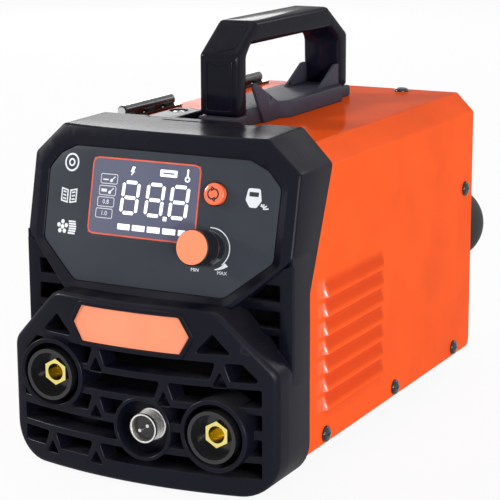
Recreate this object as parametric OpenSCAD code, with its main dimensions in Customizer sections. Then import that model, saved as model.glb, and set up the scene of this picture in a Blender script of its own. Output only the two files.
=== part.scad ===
// Compact wire-feed and stick welding machine, all sizes in millimetres.
// The front faces -Y and +Z is up. The origin is on the floor, under the middle of the machine.
// Inside the modules y counts back from the nose plate; stand() moves the machine to its origin.

/* [Steel case] */
// Outside width of the steel cover
cover_w = 154; // [150:1:156]
// Height of the cover's bottom edge above the floor
case_low = 15; // [14:0.5:17]
// Height of the cover's top face above the floor
case_top = 175.5; // [172:0.5:177]
// Size of the bevel along the cover's two top edges
case_bevel = 11; // [9:0.5:13]
// Distance of the cover's front edge behind the nose
case_front = 46; // [45:0.5:47]
// Distance of the cover's rear edge behind the nose
case_back = 285; // [280:1:310]
// Thickness of the cover's steel sheet
cover_t = 1.2; // [0.8:0.1:1.5]
// Thickness of the chassis, inner panels and partition
chassis_t = 1.5; // [1:0.1:2]
// Gap between sheets that slide past each other
sheet_gap = 0.3; // [0.2:0.05:0.5]
// Height of the chassis side flanges
flange_h = 16; // [14:1:22]

/* [Louvres] */
// Number of louvres in the right side
louvre_n = 7; // [3:1:8]
// Height of the lowest louvre's open edge
louvre_low = 34; // [30:1:40]
// Distance from louvre to louvre
louvre_pitch = 10.25; // [9.5:0.25:11]
// Front end of the louvres
louvre_y = 69; // [60:1:80]
// Length of a louvre
louvre_l = 81; // [50:1:100]
// How far a louvre stands out of the side
louvre_out = 2.2; // [1.2:0.1:2.3]

/* [Front bezel] */
// How far the plastic front bezel stands out beyond the cover on each side
bezel_over = 2.5; // [2:0.1:4]
// Height of the bezel's top face
bezel_top = 183.5; // [182:0.5:186]
// Height of the bezel's underside
bezel_low = 3; // [2.5:0.5:4]
// Radius of the bow across the lower bumper
nose_bow = 259; // [240:1:320]
// Radius of the bow across the upper face
face_bow = 358; // [340:1:420]
// Backward lean of the upper face
face_lean = 12.95; // [11:0.1:14]
// Distance of the upper face's centre behind the nose
face_y = 19.5; // [18.5:0.25:20.5]
// Height of the upper face's centre
face_z = 125; // [124:0.5:126]
// Side wall of the bezel
bezel_wall = 3.2; // [2.5:0.1:3.5]
// Wall behind the upper face's recess
face_wall = 3.3; // [2.5:0.1:4]
// Depth of the grille bars
bar_depth = 12; // [10:0.5:14]
// Depth of the recess that takes the control membrane
recess = 2.2; // [1.5:0.1:2.6]
// Distance of the side wings behind the nose
wing_y = 28; // [27:0.5:30]

/* [Badge plate] */
// Height of the badge plate's centre
badge_z = 86; // [85.5:0.25:86.5]
// Half width of the badge plate at its pointed ends
badge_tip = 34.5; // [32:0.5:35]
// Half height of the badge plate
badge_h = 9.6; // [8.5:0.1:10]
// Height of the rim round the badge plate
rim_h = 1.2; // [0.8:0.1:1.5]
// Width of the rim round the badge plate
rim_w = 2.6; // [2:0.1:3]

/* [Sockets] */
// Distance of each power socket from the middle
socket_x = 48.3; // [47:0.1:49]
// Height of the gun socket, on the left
gun_z = 56; // [55:0.5:57]
// Height of the ground socket, on the right
ground_z = 36; // [35:0.5:37]
// Outside radius of a power socket's collar
collar_r = 19.3; // [18.8:0.1:19.6]
// Radius of a power socket's recess
socket_recess_r = 16.6; // [16.2:0.1:17]
// Outside radius of a power socket's rim
socket_r = 13.8; // [13.4:0.1:14.2]
// Radius of the socket's plug bore
plug_r = 4.6; // [4.4:0.05:4.8]
// Width across the flats of the brass contact
contact_af = 12.4; // [12:0.1:13]
// Sideways place of the signal connector
signal_x = 7; // [6:0.5:8]
// Height of the signal connector
signal_z = 34; // [33:0.5:35]
// Outside radius of the signal connector's cup
cup_r = 17.2; // [16.8:0.1:17.6]
// Inside radius of the signal connector's cup
cup_in_r = 15; // [14:0.1:15.6]
// Thread radius of the signal connector
signal_r = 7.9; // [7.5:0.1:8.2]

/* [Controls] */
// Sideways place of the knob and the mode button
control_x = 35; // [34:0.5:37]
// Height of the knob's axis above the face's centre
knob_v = 3.4; // [3:0.1:4]
// Radius of the current knob
knob_r = 9.3; // [8.5:0.1:10]
// Height of the current knob without its cap
knob_h = 18.5; // [15:0.5:20]
// Radius of the mode button
button_r = 5.7; // [5.5:0.1:6.5]
// Height of the mode button above the face's centre
button_v = 31; // [30:0.5:32]
// Travel of the mode button
button_travel = 1; // [0.6:0.1:1.2]
// Width of the display opening
display_w = 65; // [60:0.5:66]
// Height of the display opening
display_h = 40; // [36:0.5:41]
// Sideways place of the display's centre
display_x = -6.75; // [-8:0.25:-6]
// Height of the display's centre above the face's centre
display_v = 24.5; // [24:0.5:26]

/* [Handle] */
// Height of the handle's top face
handle_top = 232.3; // [226:0.5:240]
// Front end of the handle
handle_y = 98; // [96:0.5:100]
// Length of the handle
handle_l = 142; // [130:1:150]
// Width of the handle grip
handle_w = 24; // [22:0.5:26]
// Thickness of the handle's posts
post_t = 11.5; // [10:0.5:13]
// Thickness of the handle's grip bar
grip_t = 12.5; // [11:0.5:14]
// Width of the handle's base
base_w = 36; // [34:1:40]
// Height of the base's platform above the cover
base_h = 9.5; // [8:0.5:12]
// Height of the base's two ears above the cover
ear_h = 23.5; // [20:0.5:25]

/* [Side door] */
// Front edge of the side door
door_front = 80; // [79:1:86]
// Rear edge of the side door
door_back = 276; // [276:0.5:278]
// Bottom edge of the side door
door_low = 26; // [25:0.5:28]
// Gap round the side door
door_gap = 0.8; // [0.5:0.1:1]
// Radius of the hinge barrels
barrel_r = 3.3; // [3:0.1:3.6]
// Radius of the hinge pins
hinge_pin_r = 1.5; // [1.2:0.1:1.6]
// Length of one hinge barrel
barrel_l = 54; // [48:1:58]
// Front end of the front hinge
hinge_y = 108; // [104:1:110]
// Distance from the front hinge to the rear hinge
hinge_pitch = 113; // [100:1:113]
// Height of the door latch above the floor
latch_z = 44; // [42:0.5:46]

/* [Wire spool and feeder] */
// Radius of the wire spool's flanges
spool_r = 50; // [45:1:52]
// Sideways place of the partition between the wire bay and the electronics
part_x = -22; // [-26:0.5:-18]
// Gap between the wire spool and the partition
spool_gap = 2.5; // [2:0.5:4]
// Room between the wire spool and the side door, for the spool nut
nut_room = 5.8; // [5.5:0.1:8]
// Radius of the wire winding
wire_r = 44; // [40:0.5:46]
// Distance of the spool's axis behind the nose
spool_y = 215; // [208:1:220]
// Radius of the spool spindle
spindle_r = 8; // [7:0.1:9]
// Distance of the feed rolls behind the nose
feed_y = 95; // [92:1:98]
// Radius of the drive roll
drive_r = 12.5; // [11:0.5:13]
// Radius of the pressure roll
press_r = 9; // [8:0.5:10]

/* [Fan and rear panel] */
// Side of the square cooling fan
fan_w = 60; // [56:1:60]
// Depth of the cooling fan
fan_d = 25; // [20:1:28]
// Radius of the mains inlet boot
boot_r = 24; // [20:0.5:24]
// How far the boot stands out behind the rear panel
boot_out = 38.5; // [36:0.5:39]
// Distance of the mains inlet from the cover's right side
inlet_in = 23; // [22:0.5:26]
// Height of the mains inlet
inlet_z = 89; // [88:0.5:92]

/* [Hidden] */
$fn = 48;
bow_fn = 720;                     // facets of the two large bows
fit = 0.05;                       // radial running fit of a shaft in its bore
seat = 0.3;                       // gap beside a moving face
half_w = cover_w / 2;
half_b = half_w + bezel_over;
floor_top = case_low + chassis_t;
inner_x = half_w - cover_t - sheet_gap;    // outside of what stands inside the cover
inner_z = case_top - cover_t - sheet_gap;  // highest level inside the cover
panel_y = case_front - 0.2 - chassis_t;    // front of the inner front panel
panel_back = panel_y + chassis_t;
rear_face = case_back - 0.2;
rear_y = rear_face - chassis_t;            // front of the rear panel
boot_end = rear_face + boot_out;
mid_y = (boot_end - rim_h) / 2;
membrane_t = 0.6;
window_t = 1.5;
board_t = 1.6;
face_cut = recess + membrane_t;            // depth of the recess under the membrane
face_back = face_cut + face_wall;          // inner side of the face wall
bumper_top = 100.5;
bumper_flat = half_b - 31.5;
wing_wall = 3.2;
ledge = half_b - inner_x + 3;              // bumper wall, with a ledge for the inner panel
case_color = "#ff6a33";
black = "#26262b";
steel = "#b9bdc2";
brass = "#d9a93a";

neck_r = 9;                                // neck of the mains boot
spool_z = 95;

// Placing helpers
module stand() translate([0, -mid_y, 0]) children();
module xz(y0, y1) translate([0, y1, 0]) rotate([90, 0, 0]) linear_extrude(y1 - y0) children();
module yz(x0, x1) translate([x0, 0, 0]) rotate([90, 0, 90]) linear_extrude(x1 - x0) children();
module rod_y(x, z, r, y0, y1) translate([x, y1, z]) rotate([90, 0, 0]) cylinder(r = r, h = y1 - y0);
module rod_x(y, z, r, x0, x1) translate([x0, y, z]) rotate([0, 90, 0]) cylinder(r = r, h = x1 - x0);
module box(x0, x1, y0, y1, z0, z1) translate([x0, y0, z0]) cube([x1 - x0, y1 - y0, z1 - z0]);
module hex_y(x, z, af, y0, y1) translate([x, y1, z]) rotate([90, 0, 0])
  cylinder(d = af / cos(30), h = y1 - y0, $fn = 6);
module upright_hex_y(x, z, af, y0, y1) translate([x, 0, z]) rotate([0, 30, 0]) hex_y(0, 0, af, y0, y1);
module both_sides() {
  children();
  mirror([1, 0, 0]) children();
}
module lean() translate([0, face_y, face_z]) rotate([-face_lean, 0, 0]) children();
module face_bow_at(depth) translate([0, face_bow, -70])
  cylinder(r = face_bow - depth, h = 150, $fn = bow_fn);
module nose_bow_at(depth) translate([0, nose_bow, -5])
  cylinder(r = nose_bow - depth, h = 125, $fn = bow_fn);
function arc(c, r, a0, a1, n) =
  [for (i = [0:n]) c + r * [cos(a0 + (a1 - a0) * i / n), sin(a0 + (a1 - a0) * i / n)]];
// Moves every side of a counter-clockwise outline inward by d
function inset(pts, d) = let(n = len(pts)) [for (i = [0:n - 1])
  let(p0 = pts[(i + n - 1) % n], p1 = pts[i], p2 = pts[(i + 1) % n],
      u = (p1 - p0) / norm(p1 - p0), v = (p2 - p1) / norm(p2 - p1),
      nu = [-u[1], u[0]], nv = [-v[1], v[0]])
  p1 + d * (nu + nv) / (1 + nu * nv)];

// Outline of the cover, seen from the front
cover_pts = [[-half_w, case_low], [half_w, case_low], [half_w, case_top - case_bevel],
             [half_w - case_bevel, case_top], [case_bevel - half_w, case_top],
             [-half_w, case_top - case_bevel]];
panel_pts = inset(cover_pts, cover_t + sheet_gap);
module inner_outline() intersection() {
  polygon(panel_pts);
  translate([-half_w, floor_top]) square([cover_w, case_top]);
}

// Case screws: [x, y, z, direction the head faces]
side_screw_y = [73, 166, 258];
screw_z = 20;
rear_screw_y = 273;
rear_screw_z = 118;
top_screw_x = 33;
top_screw_y = 275;
screw_r = 1.95;
screw_head_r = 4.5;
screw_hole_r = 2.2;
tab_x = -26.5;
tab_y = 101;
tab_end = 110;
tab_seat = bezel_top - 2.6;                // under the head of the tab's screw
panel_screws = [[-60, 150], [60, 150], [-30, 24.3], [30, 24.3]];
handle_screw_y = [handle_y + post_t / 2, handle_y + handle_l - post_t / 2];
module pan_screw(l = 7) {
  difference() {
    cylinder(r1 = screw_head_r, r2 = screw_head_r - 1.2, h = 2.2);
    for (a = [0, 90]) rotate([0, 0, a]) translate([-2.4, -0.5, 1]) cube([4.8, 1, 2]);
  }
  translate([0, 0, -l]) cylinder(r = screw_r, h = l);
}
module at_side_screws() for (y = side_screw_y) translate([half_w, y, screw_z])
  rotate([0, 90, 0]) children();
module at_rear_side_screw() translate([half_w, rear_screw_y, rear_screw_z])
  rotate([0, 90, 0]) children();
module at_top_screws() for (s = [-1, 1]) translate([s * top_screw_x, top_screw_y, case_top])
  children();
module case_screws() color("#1c1c20") stand() {
  both_sides() at_side_screws() pan_screw();
  at_rear_side_screw() pan_screw();
  at_top_screws() pan_screw();
  translate([tab_x, tab_y, tab_seat]) pan_screw(tab_seat - case_top + 5);
  for (y = handle_screw_y) translate([0, y, case_top - cover_t]) rotate([180, 0, 0]) pan_screw(8);
  for (p = panel_screws) translate([p[0], panel_back, p[1]]) rotate([-90, 0, 0]) pan_screw(9);
}
module screw_holes(r) {
  both_sides() at_side_screws() translate([0, 0, -9]) cylinder(r = r, h = 12);
  at_rear_side_screw() translate([0, 0, -9]) cylinder(r = r, h = 12);
  at_top_screws() translate([0, 0, -9]) cylinder(r = r, h = 12);
}

// Chassis and inner panels
module chassis_tray() color(black) stand() difference() {
  union() {
    box(-inner_x, inner_x, panel_y, rear_face, case_low, floor_top);
    both_sides() box(inner_x - chassis_t, inner_x, panel_back + seat, rear_y - seat,
                     floor_top - 0.1, floor_top + flange_h);
  }
  screw_holes(screw_r + fit);
  for (y = [110:12:230]) box(5, 45, y, y + 4, case_low - 1, floor_top + 1);
}
module inner_front_panel() color(steel) stand() difference() {
  xz(panel_y, panel_back) inner_outline();
  rod_y(-socket_x, gun_z, 8, panel_y - 1, panel_back + 1);
  rod_y(socket_x, ground_z, 8, panel_y - 1, panel_back + 1);
  rod_y(signal_x, signal_z, 8, panel_y - 1, panel_back + 1);
  for (p = panel_screws) rod_y(p[0], p[1], screw_hole_r, panel_y - 1, panel_back + 1);
  box(10, 50, panel_y - 1, panel_back + 1, 95, 112);
}
fan_x = part_x + 1.5 + fan_w / 2;
fan_z = floor_top + 1 + fan_w / 2;
inlet_x = half_w - inlet_in;
switch_x = half_w - 32;
switch_z = 140;
module rear_panel() color(steel) stand() difference() {
  union() {
    xz(rear_y, rear_face) inner_outline();
    box(inner_x - chassis_t, inner_x, rear_screw_y - 7, rear_y + 0.1,
        rear_screw_z - 10, rear_screw_z + 10);
    for (s = [-1, 1]) translate([s * top_screw_x, 0, 0])
      box(-9, 9, top_screw_y - 8, rear_y + 0.1, inner_z - chassis_t, inner_z);
  }
  screw_holes(screw_r + fit);
  rod_y(fan_x, fan_z, fan_w / 2 - 2.5, rear_y - 1, rear_face + 1);
  for (x = [-1, 1], z = [-1, 1]) rod_y(fan_x + x * (fan_w / 2 - 5), fan_z + z * (fan_w / 2 - 5),
                                       2, rear_y - 1, rear_face + 1);
  box(switch_x - 14, switch_x + 14, rear_y - 1, rear_face + 1, switch_z - 11, switch_z + 11);
  rod_y(inlet_x, inlet_z, neck_r + fit, rear_y - 1, rear_face + 1);
}
part_left = part_x - chassis_t;
drive_z = gun_z - 0.4 - drive_r;
module partition_plate() color(steel) stand() difference() {
  union() {
    box(part_left, part_x, panel_back + seat, rear_y - seat, floor_top, inner_z - 0.5);
    box(part_left - 12, part_left + 0.1, panel_back + seat, rear_y - seat,
        floor_top, floor_top + chassis_t);
  }
  rod_x(feed_y, drive_z, 8, part_left - 1, part_x + 1);
  rod_x(spool_y, spool_z, 3, part_left - 1, part_x + 1);
}

// Orange cover and side door
module louvre_wedge(z, out, cut) xz(louvre_y + cut, louvre_y + louvre_l - cut)
  polygon([[half_w - cover_t - cut, z - cut], [half_w + out, z - cut], [half_w + out, z + 1 - cut / 2],
           [half_w, z + 6.5 - 1.7 * cut], [half_w - cover_t - cut, z + 6.5 - 1.7 * cut]]);
louvre_t = 1;
louvre_z = [for (i = [0:louvre_n - 1]) louvre_low + i * louvre_pitch];
door_top_along = door_gap + cover_t;       // from the bevel's upper corner down to the door
door_top_d = door_top_along / sqrt(2);
module top_cover() color(case_color) stand() difference() {
  union() {
    difference() {
      xz(case_front, case_back) polygon(cover_pts);
      xz(case_front - 1, case_back + 1) polygon(concat([[half_w - cover_t, 0]],
        [for (i = [2:5]) inset(cover_pts, cover_t)[i]], [[cover_t - half_w, 0]]));
    }
    for (z = louvre_z) louvre_wedge(z, louvre_out, 0);
  }
  for (z = louvre_z) louvre_wedge(z, louvre_out - louvre_t, louvre_t);
  box(-half_w - 1, case_bevel - half_w, door_front - door_gap, door_back + door_gap,
      door_low - door_gap, case_top + 1);
  screw_holes(screw_hole_r);
  for (y = handle_screw_y) translate([0, y, case_top - 5]) cylinder(r = screw_hole_r, h = 9);
  translate([tab_x, tab_y, case_top - 5]) cylinder(r = screw_hole_r, h = 9);
}
door_pts = [[-half_w, case_top - case_bevel], [-half_w, door_low],
            [cover_t - half_w, door_low],
            [cover_t - half_w, case_top - case_bevel - cover_t * tan(22.5)],
            [case_bevel - half_w - door_top_d + cover_t / sqrt(2),
             case_top - door_top_d - cover_t / sqrt(2)],
            [case_bevel - half_w - door_top_d, case_top - door_top_d]];
latch_y = (door_front + door_back) / 2;
latch_r = 4;
module side_door() color(case_color) stand() difference() {
  xz(door_front, door_back) polygon(door_pts);
  rod_x(latch_y, latch_z, latch_r + fit, -half_w - 1, 3 - half_w);
}

// Front bezel
corner_r = 20;
bumper_pts = concat([[bumper_flat, bumper_top], [-bumper_flat, bumper_top],
                     [-half_b, bumper_top - (half_b - bumper_flat)]],
  arc([corner_r - half_b, bezel_low + corner_r], corner_r, 180, 270, 8),
  arc([half_b - corner_r, bezel_low + corner_r], corner_r, 270, 360, 8),
  [[half_b, bumper_top - (half_b - bumper_flat)]]);
upper_x = half_b - 29.5;                   // half width of the upper face's bottom edge
upper_top_x = half_b - 18.5;               // half width of its top edge
upper_pts = [[upper_x, 98.5], [half_b, 125], [half_b, 166.7], [upper_top_x, bezel_top],
             [-upper_top_x, bezel_top], [-half_b, 166.7], [-half_b, 125], [-upper_x, 98.5]];
skirt_y = case_front + 3;
function bezel_side(d) = [[-5, bezel_low], [skirt_y, bezel_low], [skirt_y - d, 103],
                          [75 - d, 164.7], [78.5 - d, bezel_top + 1], [-5, bezel_top + 1]];
module bezel_outer() intersection() {
  union() {
    intersection() {
      xz(0, skirt_y) polygon(bumper_pts);
      nose_bow_at(0);
    }
    intersection() {
      xz(0, 80) polygon(upper_pts);
      lean() face_bow_at(0);
    }
    box(-half_b, half_b, wing_y, 80, 62, 130);
  }
  yz(-half_b, half_b) polygon(bezel_side(0));
}
module bezel_cavity() {
  intersection() {
    xz(0, panel_y) polygon(inset(bumper_pts, ledge));
    nose_bow_at(bar_depth);
  }
  intersection() {
    xz(0, 80) polygon(inset(upper_pts, bezel_wall));
    lean() face_bow_at(face_back);
    yz(-half_b, half_b) polygon(bezel_side(4));
  }
  box(ledge - half_b, half_b - ledge, wing_y + wing_wall, panel_y, 68, 128);
  xz(panel_y, 90) polygon(inset(cover_pts, -sheet_gap));
}
// Grille rows: [bottom, top, peaks]
grille_rows = [[64.5, 73.5, [-21, 50]], [51.5, 60.5, [19.5]], [39.5, 47.5, [-21.5]],
               [26, 34.5, []], [14, 22, [-52, -22]]];
grille_left = 7.5 - half_b;
grille_right = half_b - 8.5;
module grille_row(row) difference() {
  translate([grille_left, row[0]]) square([grille_right - grille_left, row[1] - row[0]]);
  for (p = row[2]) polygon([[p - 6, row[0] - 1], [p + 6, row[0] - 1],
                            [p + 2, row[1] + 1], [p - 2, row[1] + 1]]);
  translate([-socket_x, gun_z]) circle(r = collar_r);
  translate([socket_x, ground_z]) circle(r = collar_r);
  translate([signal_x, signal_z]) circle(r = cup_r);
  for (s = [-1, 1])
    polygon([[s * (half_b - 19.5), 75], [s * (half_b + 1), 75], [s * (half_b + 1), 54.5]]);
}
module grille() {
  for (row = grille_rows) xz(-3, 32) grille_row(row);
  for (row = grille_rows) for (p = row[2]) difference() {
    xz(-3, 32) polygon([[p - 4, row[0] - 3.5], [p + 4, row[0] - 3.5], [p, row[1] - 4.5]]);
    nose_bow_at(5);
  }
  both_sides() xz(-3, 32) polygon([[half_b - 42.5, 78], [half_b - 23.5, 78], [half_b - 33.2, 88.3]]);
}
// Wing slots: [outer x, bottom, top, inner x at the bottom, inner x at the top]
slot_x = half_b - 7.5;
wing_slots = [[slot_x, 102.5, 110.5, slot_x - 12, slot_x - 5], [slot_x, 88.5, 97, upper_x, upper_x],
              [slot_x - 0.5, 77.5, 84.5, slot_x - 9, slot_x - 15]];
module wing_openings() both_sides() for (w = wing_slots) xz(24, 40)
  polygon([[w[3], w[1]], [w[0], w[1]], [w[0], w[2]], [w[4], w[2]]]);
badge_pts = [[29, badge_z - badge_h], [badge_tip, badge_z], [29, badge_z + badge_h],
             [-29, badge_z + badge_h], [-badge_tip, badge_z], [-29, badge_z - badge_h]];
badge_t = 1.2;
film_x = half_b - 10;                      // half width of the control membrane
film_half = [[film_x - 24.5, -21.5], [film_x - 0.5, -1], [film_x, 37], [film_x - 7.5, 45.5],
             [film_x - 17.5, 50]];
membrane_pts = concat(film_half,
  [for (i = [len(film_half) - 1:-1:0]) [-film_half[i][0], film_half[i][1]]]);
collar_y = 0.5;                            // front of the collars
seat_y = 16;                               // wall behind the power sockets
seat_wall = 4.8;
cup_floor = 9.5;
cup_wall = 3.4;
shell_r = 11.5;
boss_r = 3.8;
board_y = 12;                              // front of the display board, square to the face
display_boss = [[-42, 43], [51, 43], [-42, -9], [51, -9]];
module bezel_solid() {
  difference() {
    bezel_outer();
    bezel_cavity();
    grille();
    wing_openings();
  }
  rod_y(-socket_x, gun_z, collar_r, collar_y, seat_y + seat_wall);
  rod_y(socket_x, ground_z, collar_r, collar_y, seat_y + seat_wall);
  rod_y(signal_x, signal_z, cup_r, -0.3, cup_floor + cup_wall);
  for (p = panel_screws) rod_y(p[0], p[1], boss_r, p[1] > 100 ? 31 : 13, panel_y);
  intersection() {
    xz(-5, 20) difference() {
      polygon(inset(badge_pts, -rim_w));
      polygon(badge_pts);
    }
    nose_bow_at(-rim_h);
  }
  lean() for (p = display_boss) rod_y(p[0], p[1], 3, 6, board_y);
  box(tab_x - 6.5, tab_x + 11.5, 74, tab_end, case_top, bezel_top);
}
module window_outline(gap) translate([display_x - display_w / 2 - gap, display_v - display_h / 2 - gap])
  square([display_w + 2 * gap, display_h + 2 * gap]);
shaft_r = 3;
module front_bezel() color(black) stand() difference() {
  bezel_solid();
  rod_y(-socket_x, gun_z, socket_recess_r, -2, seat_y);
  rod_y(socket_x, ground_z, socket_recess_r, -2, seat_y);
  rod_y(-socket_x, gun_z, shell_r + fit, seat_y - 1, seat_y + seat_wall + 1);
  rod_y(socket_x, ground_z, shell_r + fit, seat_y - 1, seat_y + seat_wall + 1);
  rod_y(signal_x, signal_z, cup_in_r, -2, cup_floor);
  rod_y(signal_x, signal_z, signal_r + fit, cup_floor - 1, cup_floor + cup_wall + 1);
  for (p = panel_screws) rod_y(p[0], p[1], screw_r + fit, panel_back - 11.5, panel_y + 1);
  difference() {
    xz(-3, 12) polygon(inset(badge_pts, 0));
    nose_bow_at(badge_t);
  }
  lean() {
    difference() {
      xz(-3, 14) polygon(inset(membrane_pts, -4.5));
      face_bow_at(1.1);
    }
    difference() {
      xz(-3, 18) polygon(inset(membrane_pts, -0.2));
      face_bow_at(face_cut);
    }
    difference() {
      xz(-3, 18) window_outline(0.2);
      face_bow_at(recess + window_t);
    }
    xz(-3, board_y - 3) window_outline(-2.5);
    rod_y(control_x, knob_v, shaft_r + 0.6, -3, board_y);
    rod_y(control_x, button_v, button_r + fit, -3, board_y);
    for (p = display_boss) rod_y(p[0], p[1], 1.2, board_y - 4, board_y + 1);
  }
  translate([32, 79, case_top + 1]) cylinder(r = 7.5, h = 20);
  box(-26, 10, 75.2, 76, bezel_top - 1.5, bezel_top + 1);
  translate([tab_x, tab_y, tab_seat]) cylinder(r = screw_head_r + seat, h = 20);
  translate([tab_x, tab_y, case_top - 1]) cylinder(r = screw_hole_r, h = 20);
}

// Control face
module face_sheet(depth, t, y1) lean() intersection() {
  xz(-3, y1) children();
  difference() {
    face_bow_at(depth);
    face_bow_at(depth + t);
  }
}
module control_membrane() color("#333338") stand() face_sheet(recess, membrane_t, 18) difference() {
  polygon(membrane_pts);
  window_outline(0.2);
  translate([control_x, knob_v]) circle(r = shaft_r + 1);
  translate([control_x, button_v]) circle(r = button_r + 0.5);
}
module display_window() color("#3a3f46") stand() face_sheet(recess, window_t, 18) window_outline(0);
module display_board() color("#1f6b3a") stand() lean() difference() {
  box(-46, 55, board_y, board_y + board_t, -13, 46);
  rod_y(control_x, knob_v, bushing_r + fit, board_y - 1, board_y + 3);
  for (p = display_boss) rod_y(p[0], p[1], 1.2, board_y - 1, board_y + 3);
}
module led_display() color("#f2f5f8") stand() lean()
  box(display_x - 27, display_x + 27, 7, board_y, display_v - 15, display_v + 15);
button_rest = 10;                          // front of the button's flange
module mode_button() color(case_color) stand() lean() {
  intersection() {
    rod_y(control_x, button_v, button_r, 1, button_rest + 0.1);
    translate([control_x, 1.6 + 14, button_v]) sphere(r = 14, $fn = 96);
  }
  rod_y(control_x, button_v, button_r, 5, button_rest + 0.1);
  rod_y(control_x, button_v, button_r + 1, button_rest - 0.6, board_y - button_travel - 0.2);
}
knob_back = 2.8;                           // back of the knob, just clear of the membrane
knob_front = knob_back - knob_h;
cap_t = 1.6;
cap_in = 1;                                 // rim of the knob round its cap
module current_knob() color("#141417") stand() lean() {
  difference() {
    union() {
      rod_y(control_x, knob_v, knob_r, knob_front + 1, knob_back);
      translate([control_x, knob_front + 1, knob_v]) rotate([90, 0, 0])
        cylinder(r1 = knob_r, r2 = knob_r - 0.4, h = 1);
    }
    rod_y(control_x, knob_v, knob_r - cap_in + fit, knob_front - 1, knob_front + 1);
  }
  rod_y(control_x, knob_v, shaft_r, knob_back - 1, board_y + 6);
}
module knob_cap() color(case_color) stand() lean() difference() {
  rod_y(control_x, knob_v, knob_r - cap_in, knob_front + 1 - cap_t, knob_front + 1);
  box(control_x - 0.5, control_x + 0.5, knob_front - 2, knob_front + 0.3 - cap_t + 1,
      knob_v + 2, knob_v + knob_r);
}
bushing_r = 4.5;
module potentiometer() color(steel) stand() lean() difference() {
  union() {
    rod_y(control_x, knob_v, 8, board_y + board_t, board_y + board_t + 7.5);
    rod_y(control_x, knob_v, bushing_r, board_y - 2, board_y + board_t + 1);
  }
  rod_y(control_x, knob_v, shaft_r + fit, board_y - 3, board_y + 6.5);
}
module badge_plate() color(case_color) stand() intersection() {
  xz(-3, 12) polygon(inset(badge_pts, 0.1));
  difference() {
    nose_bow_at(0);
    nose_bow_at(badge_t);
  }
}

// Power sockets and signal connector
rim_y = -1;                                // front of the sockets' rims
rim_t = 1.9;
cup_y = 8;                                 // floor of the sockets' cups
contact_y = 4.4;                           // front of the brass contacts
shell_end = 34;
hex_end = 14;
contact_r = 5.9;
contact_end = 58;
module socket_shell(x, z) color("#1e1e22") stand() difference() {
  union() {
    rod_y(x, z, socket_r, rim_y, seat_y);
    rod_y(x, z, shell_r, seat_y - 1, shell_end);
  }
  rod_y(x, z, socket_r - rim_t, rim_y - 1, cup_y);
  upright_hex_y(x, z, contact_af + 2 * fit, cup_y - 1, hex_end);
  rod_y(x, z, contact_r + fit, hex_end - 1, shell_end + 1);
}
module socket_contact(x, z, wire_r) color(brass) stand() difference() {
  union() {
    upright_hex_y(x, z, contact_af, contact_y, hex_end);
    rod_y(x, z, contact_r, hex_end - 1, contact_end);
  }
  rod_y(x, z, plug_r, contact_y - 1, shell_end - 4);
  if (wire_r > 0) rod_y(x, z, wire_r, shell_end - 5, contact_end + 1);
}
module gun_socket_shell() socket_shell(-socket_x, gun_z);
module gun_socket_contact() socket_contact(-socket_x, gun_z, 1.2);
module ground_socket_shell() socket_shell(socket_x, ground_z);
module ground_socket_contact() socket_contact(socket_x, ground_z, 0);
nut_t = 5.5;
module nut_y(x, z, af, r, y0, t) difference() {
  hex_y(x, z, af, y0, y0 + t);
  rod_y(x, z, r + fit, y0 - 1, y0 + t + 1);
}
module connector_nuts() color(steel) stand() {
  nut_y(-socket_x, gun_z, 28, shell_r, seat_y + seat_wall, nut_t);
  nut_y(socket_x, ground_z, 28, shell_r, seat_y + seat_wall, nut_t);
  nut_y(signal_x, signal_z, 20, signal_r, cup_floor + cup_wall, 3);
}
insert_r = signal_r - 1.2;
signal_y = 0.8;
module signal_connector_shell() color("#d4d8dc") stand() difference() {
  union() {
    rod_y(signal_x, signal_z, signal_r, signal_y, 20);
    rod_y(signal_x, signal_z, signal_r + 1.8, cup_floor - 1.6, cup_floor);
  }
  rod_y(signal_x, signal_z, insert_r + fit, signal_y - 1, 21);
}
module signal_pins(r, y0, y1) for (s = [-1, 1])
  rod_y(signal_x + s * 2.3, signal_z + s * 1.5, r, y0, y1);
module signal_connector_insert() color("#1b1b1e") stand() difference() {
  rod_y(signal_x, signal_z, insert_r, 4, 18);
  signal_pins(0.9 + fit, 3, 19);
}
module signal_connector_pins() color("#e6dfc8") stand() signal_pins(0.9, 1.6, 23);

// Handle
handle_end = handle_y + handle_l;
base_low_top = case_top + 6.5;             // seats under the handle's two posts
ear_t = 2;
web_end = handle_end - post_t - 0.8;       // just clear of the rear post
module handle_strap_side() difference() {
  polygon([[handle_y, base_low_top], [handle_end, base_low_top], [handle_end, handle_top - 17.6],
           [handle_end - 27, handle_top], [handle_y + 23, handle_top],
           [handle_y, handle_top - 16.3]]);
  polygon([[handle_y + post_t, base_low_top - 1], [handle_end - post_t, base_low_top - 1],
           [handle_end - post_t - 1, handle_top - grip_t - 8],
           [handle_end - post_t - 13, handle_top - grip_t],
           [handle_y + post_t + 5.5, handle_top - grip_t],
           [handle_y + post_t, handle_top - grip_t - 6]]);
}
module handle_grip() color("#17171a") stand() difference() {
  yz(-handle_w / 2, handle_w / 2) handle_strap_side();
  for (y = handle_screw_y) translate([0, y, base_low_top - 1]) cylinder(r = screw_r + fit, h = 4);
}
base_half = [[12, handle_y - 3], [12, handle_y + 27], [base_w / 2, handle_y + 45],
             [base_w / 2, handle_y + 122], [12, handle_end - 6], [12, handle_end + 5]];
module base_plan() polygon(concat(base_half,
  [for (i = [len(base_half) - 1:-1:0]) [-base_half[i][0], base_half[i][1]]]));
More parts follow.
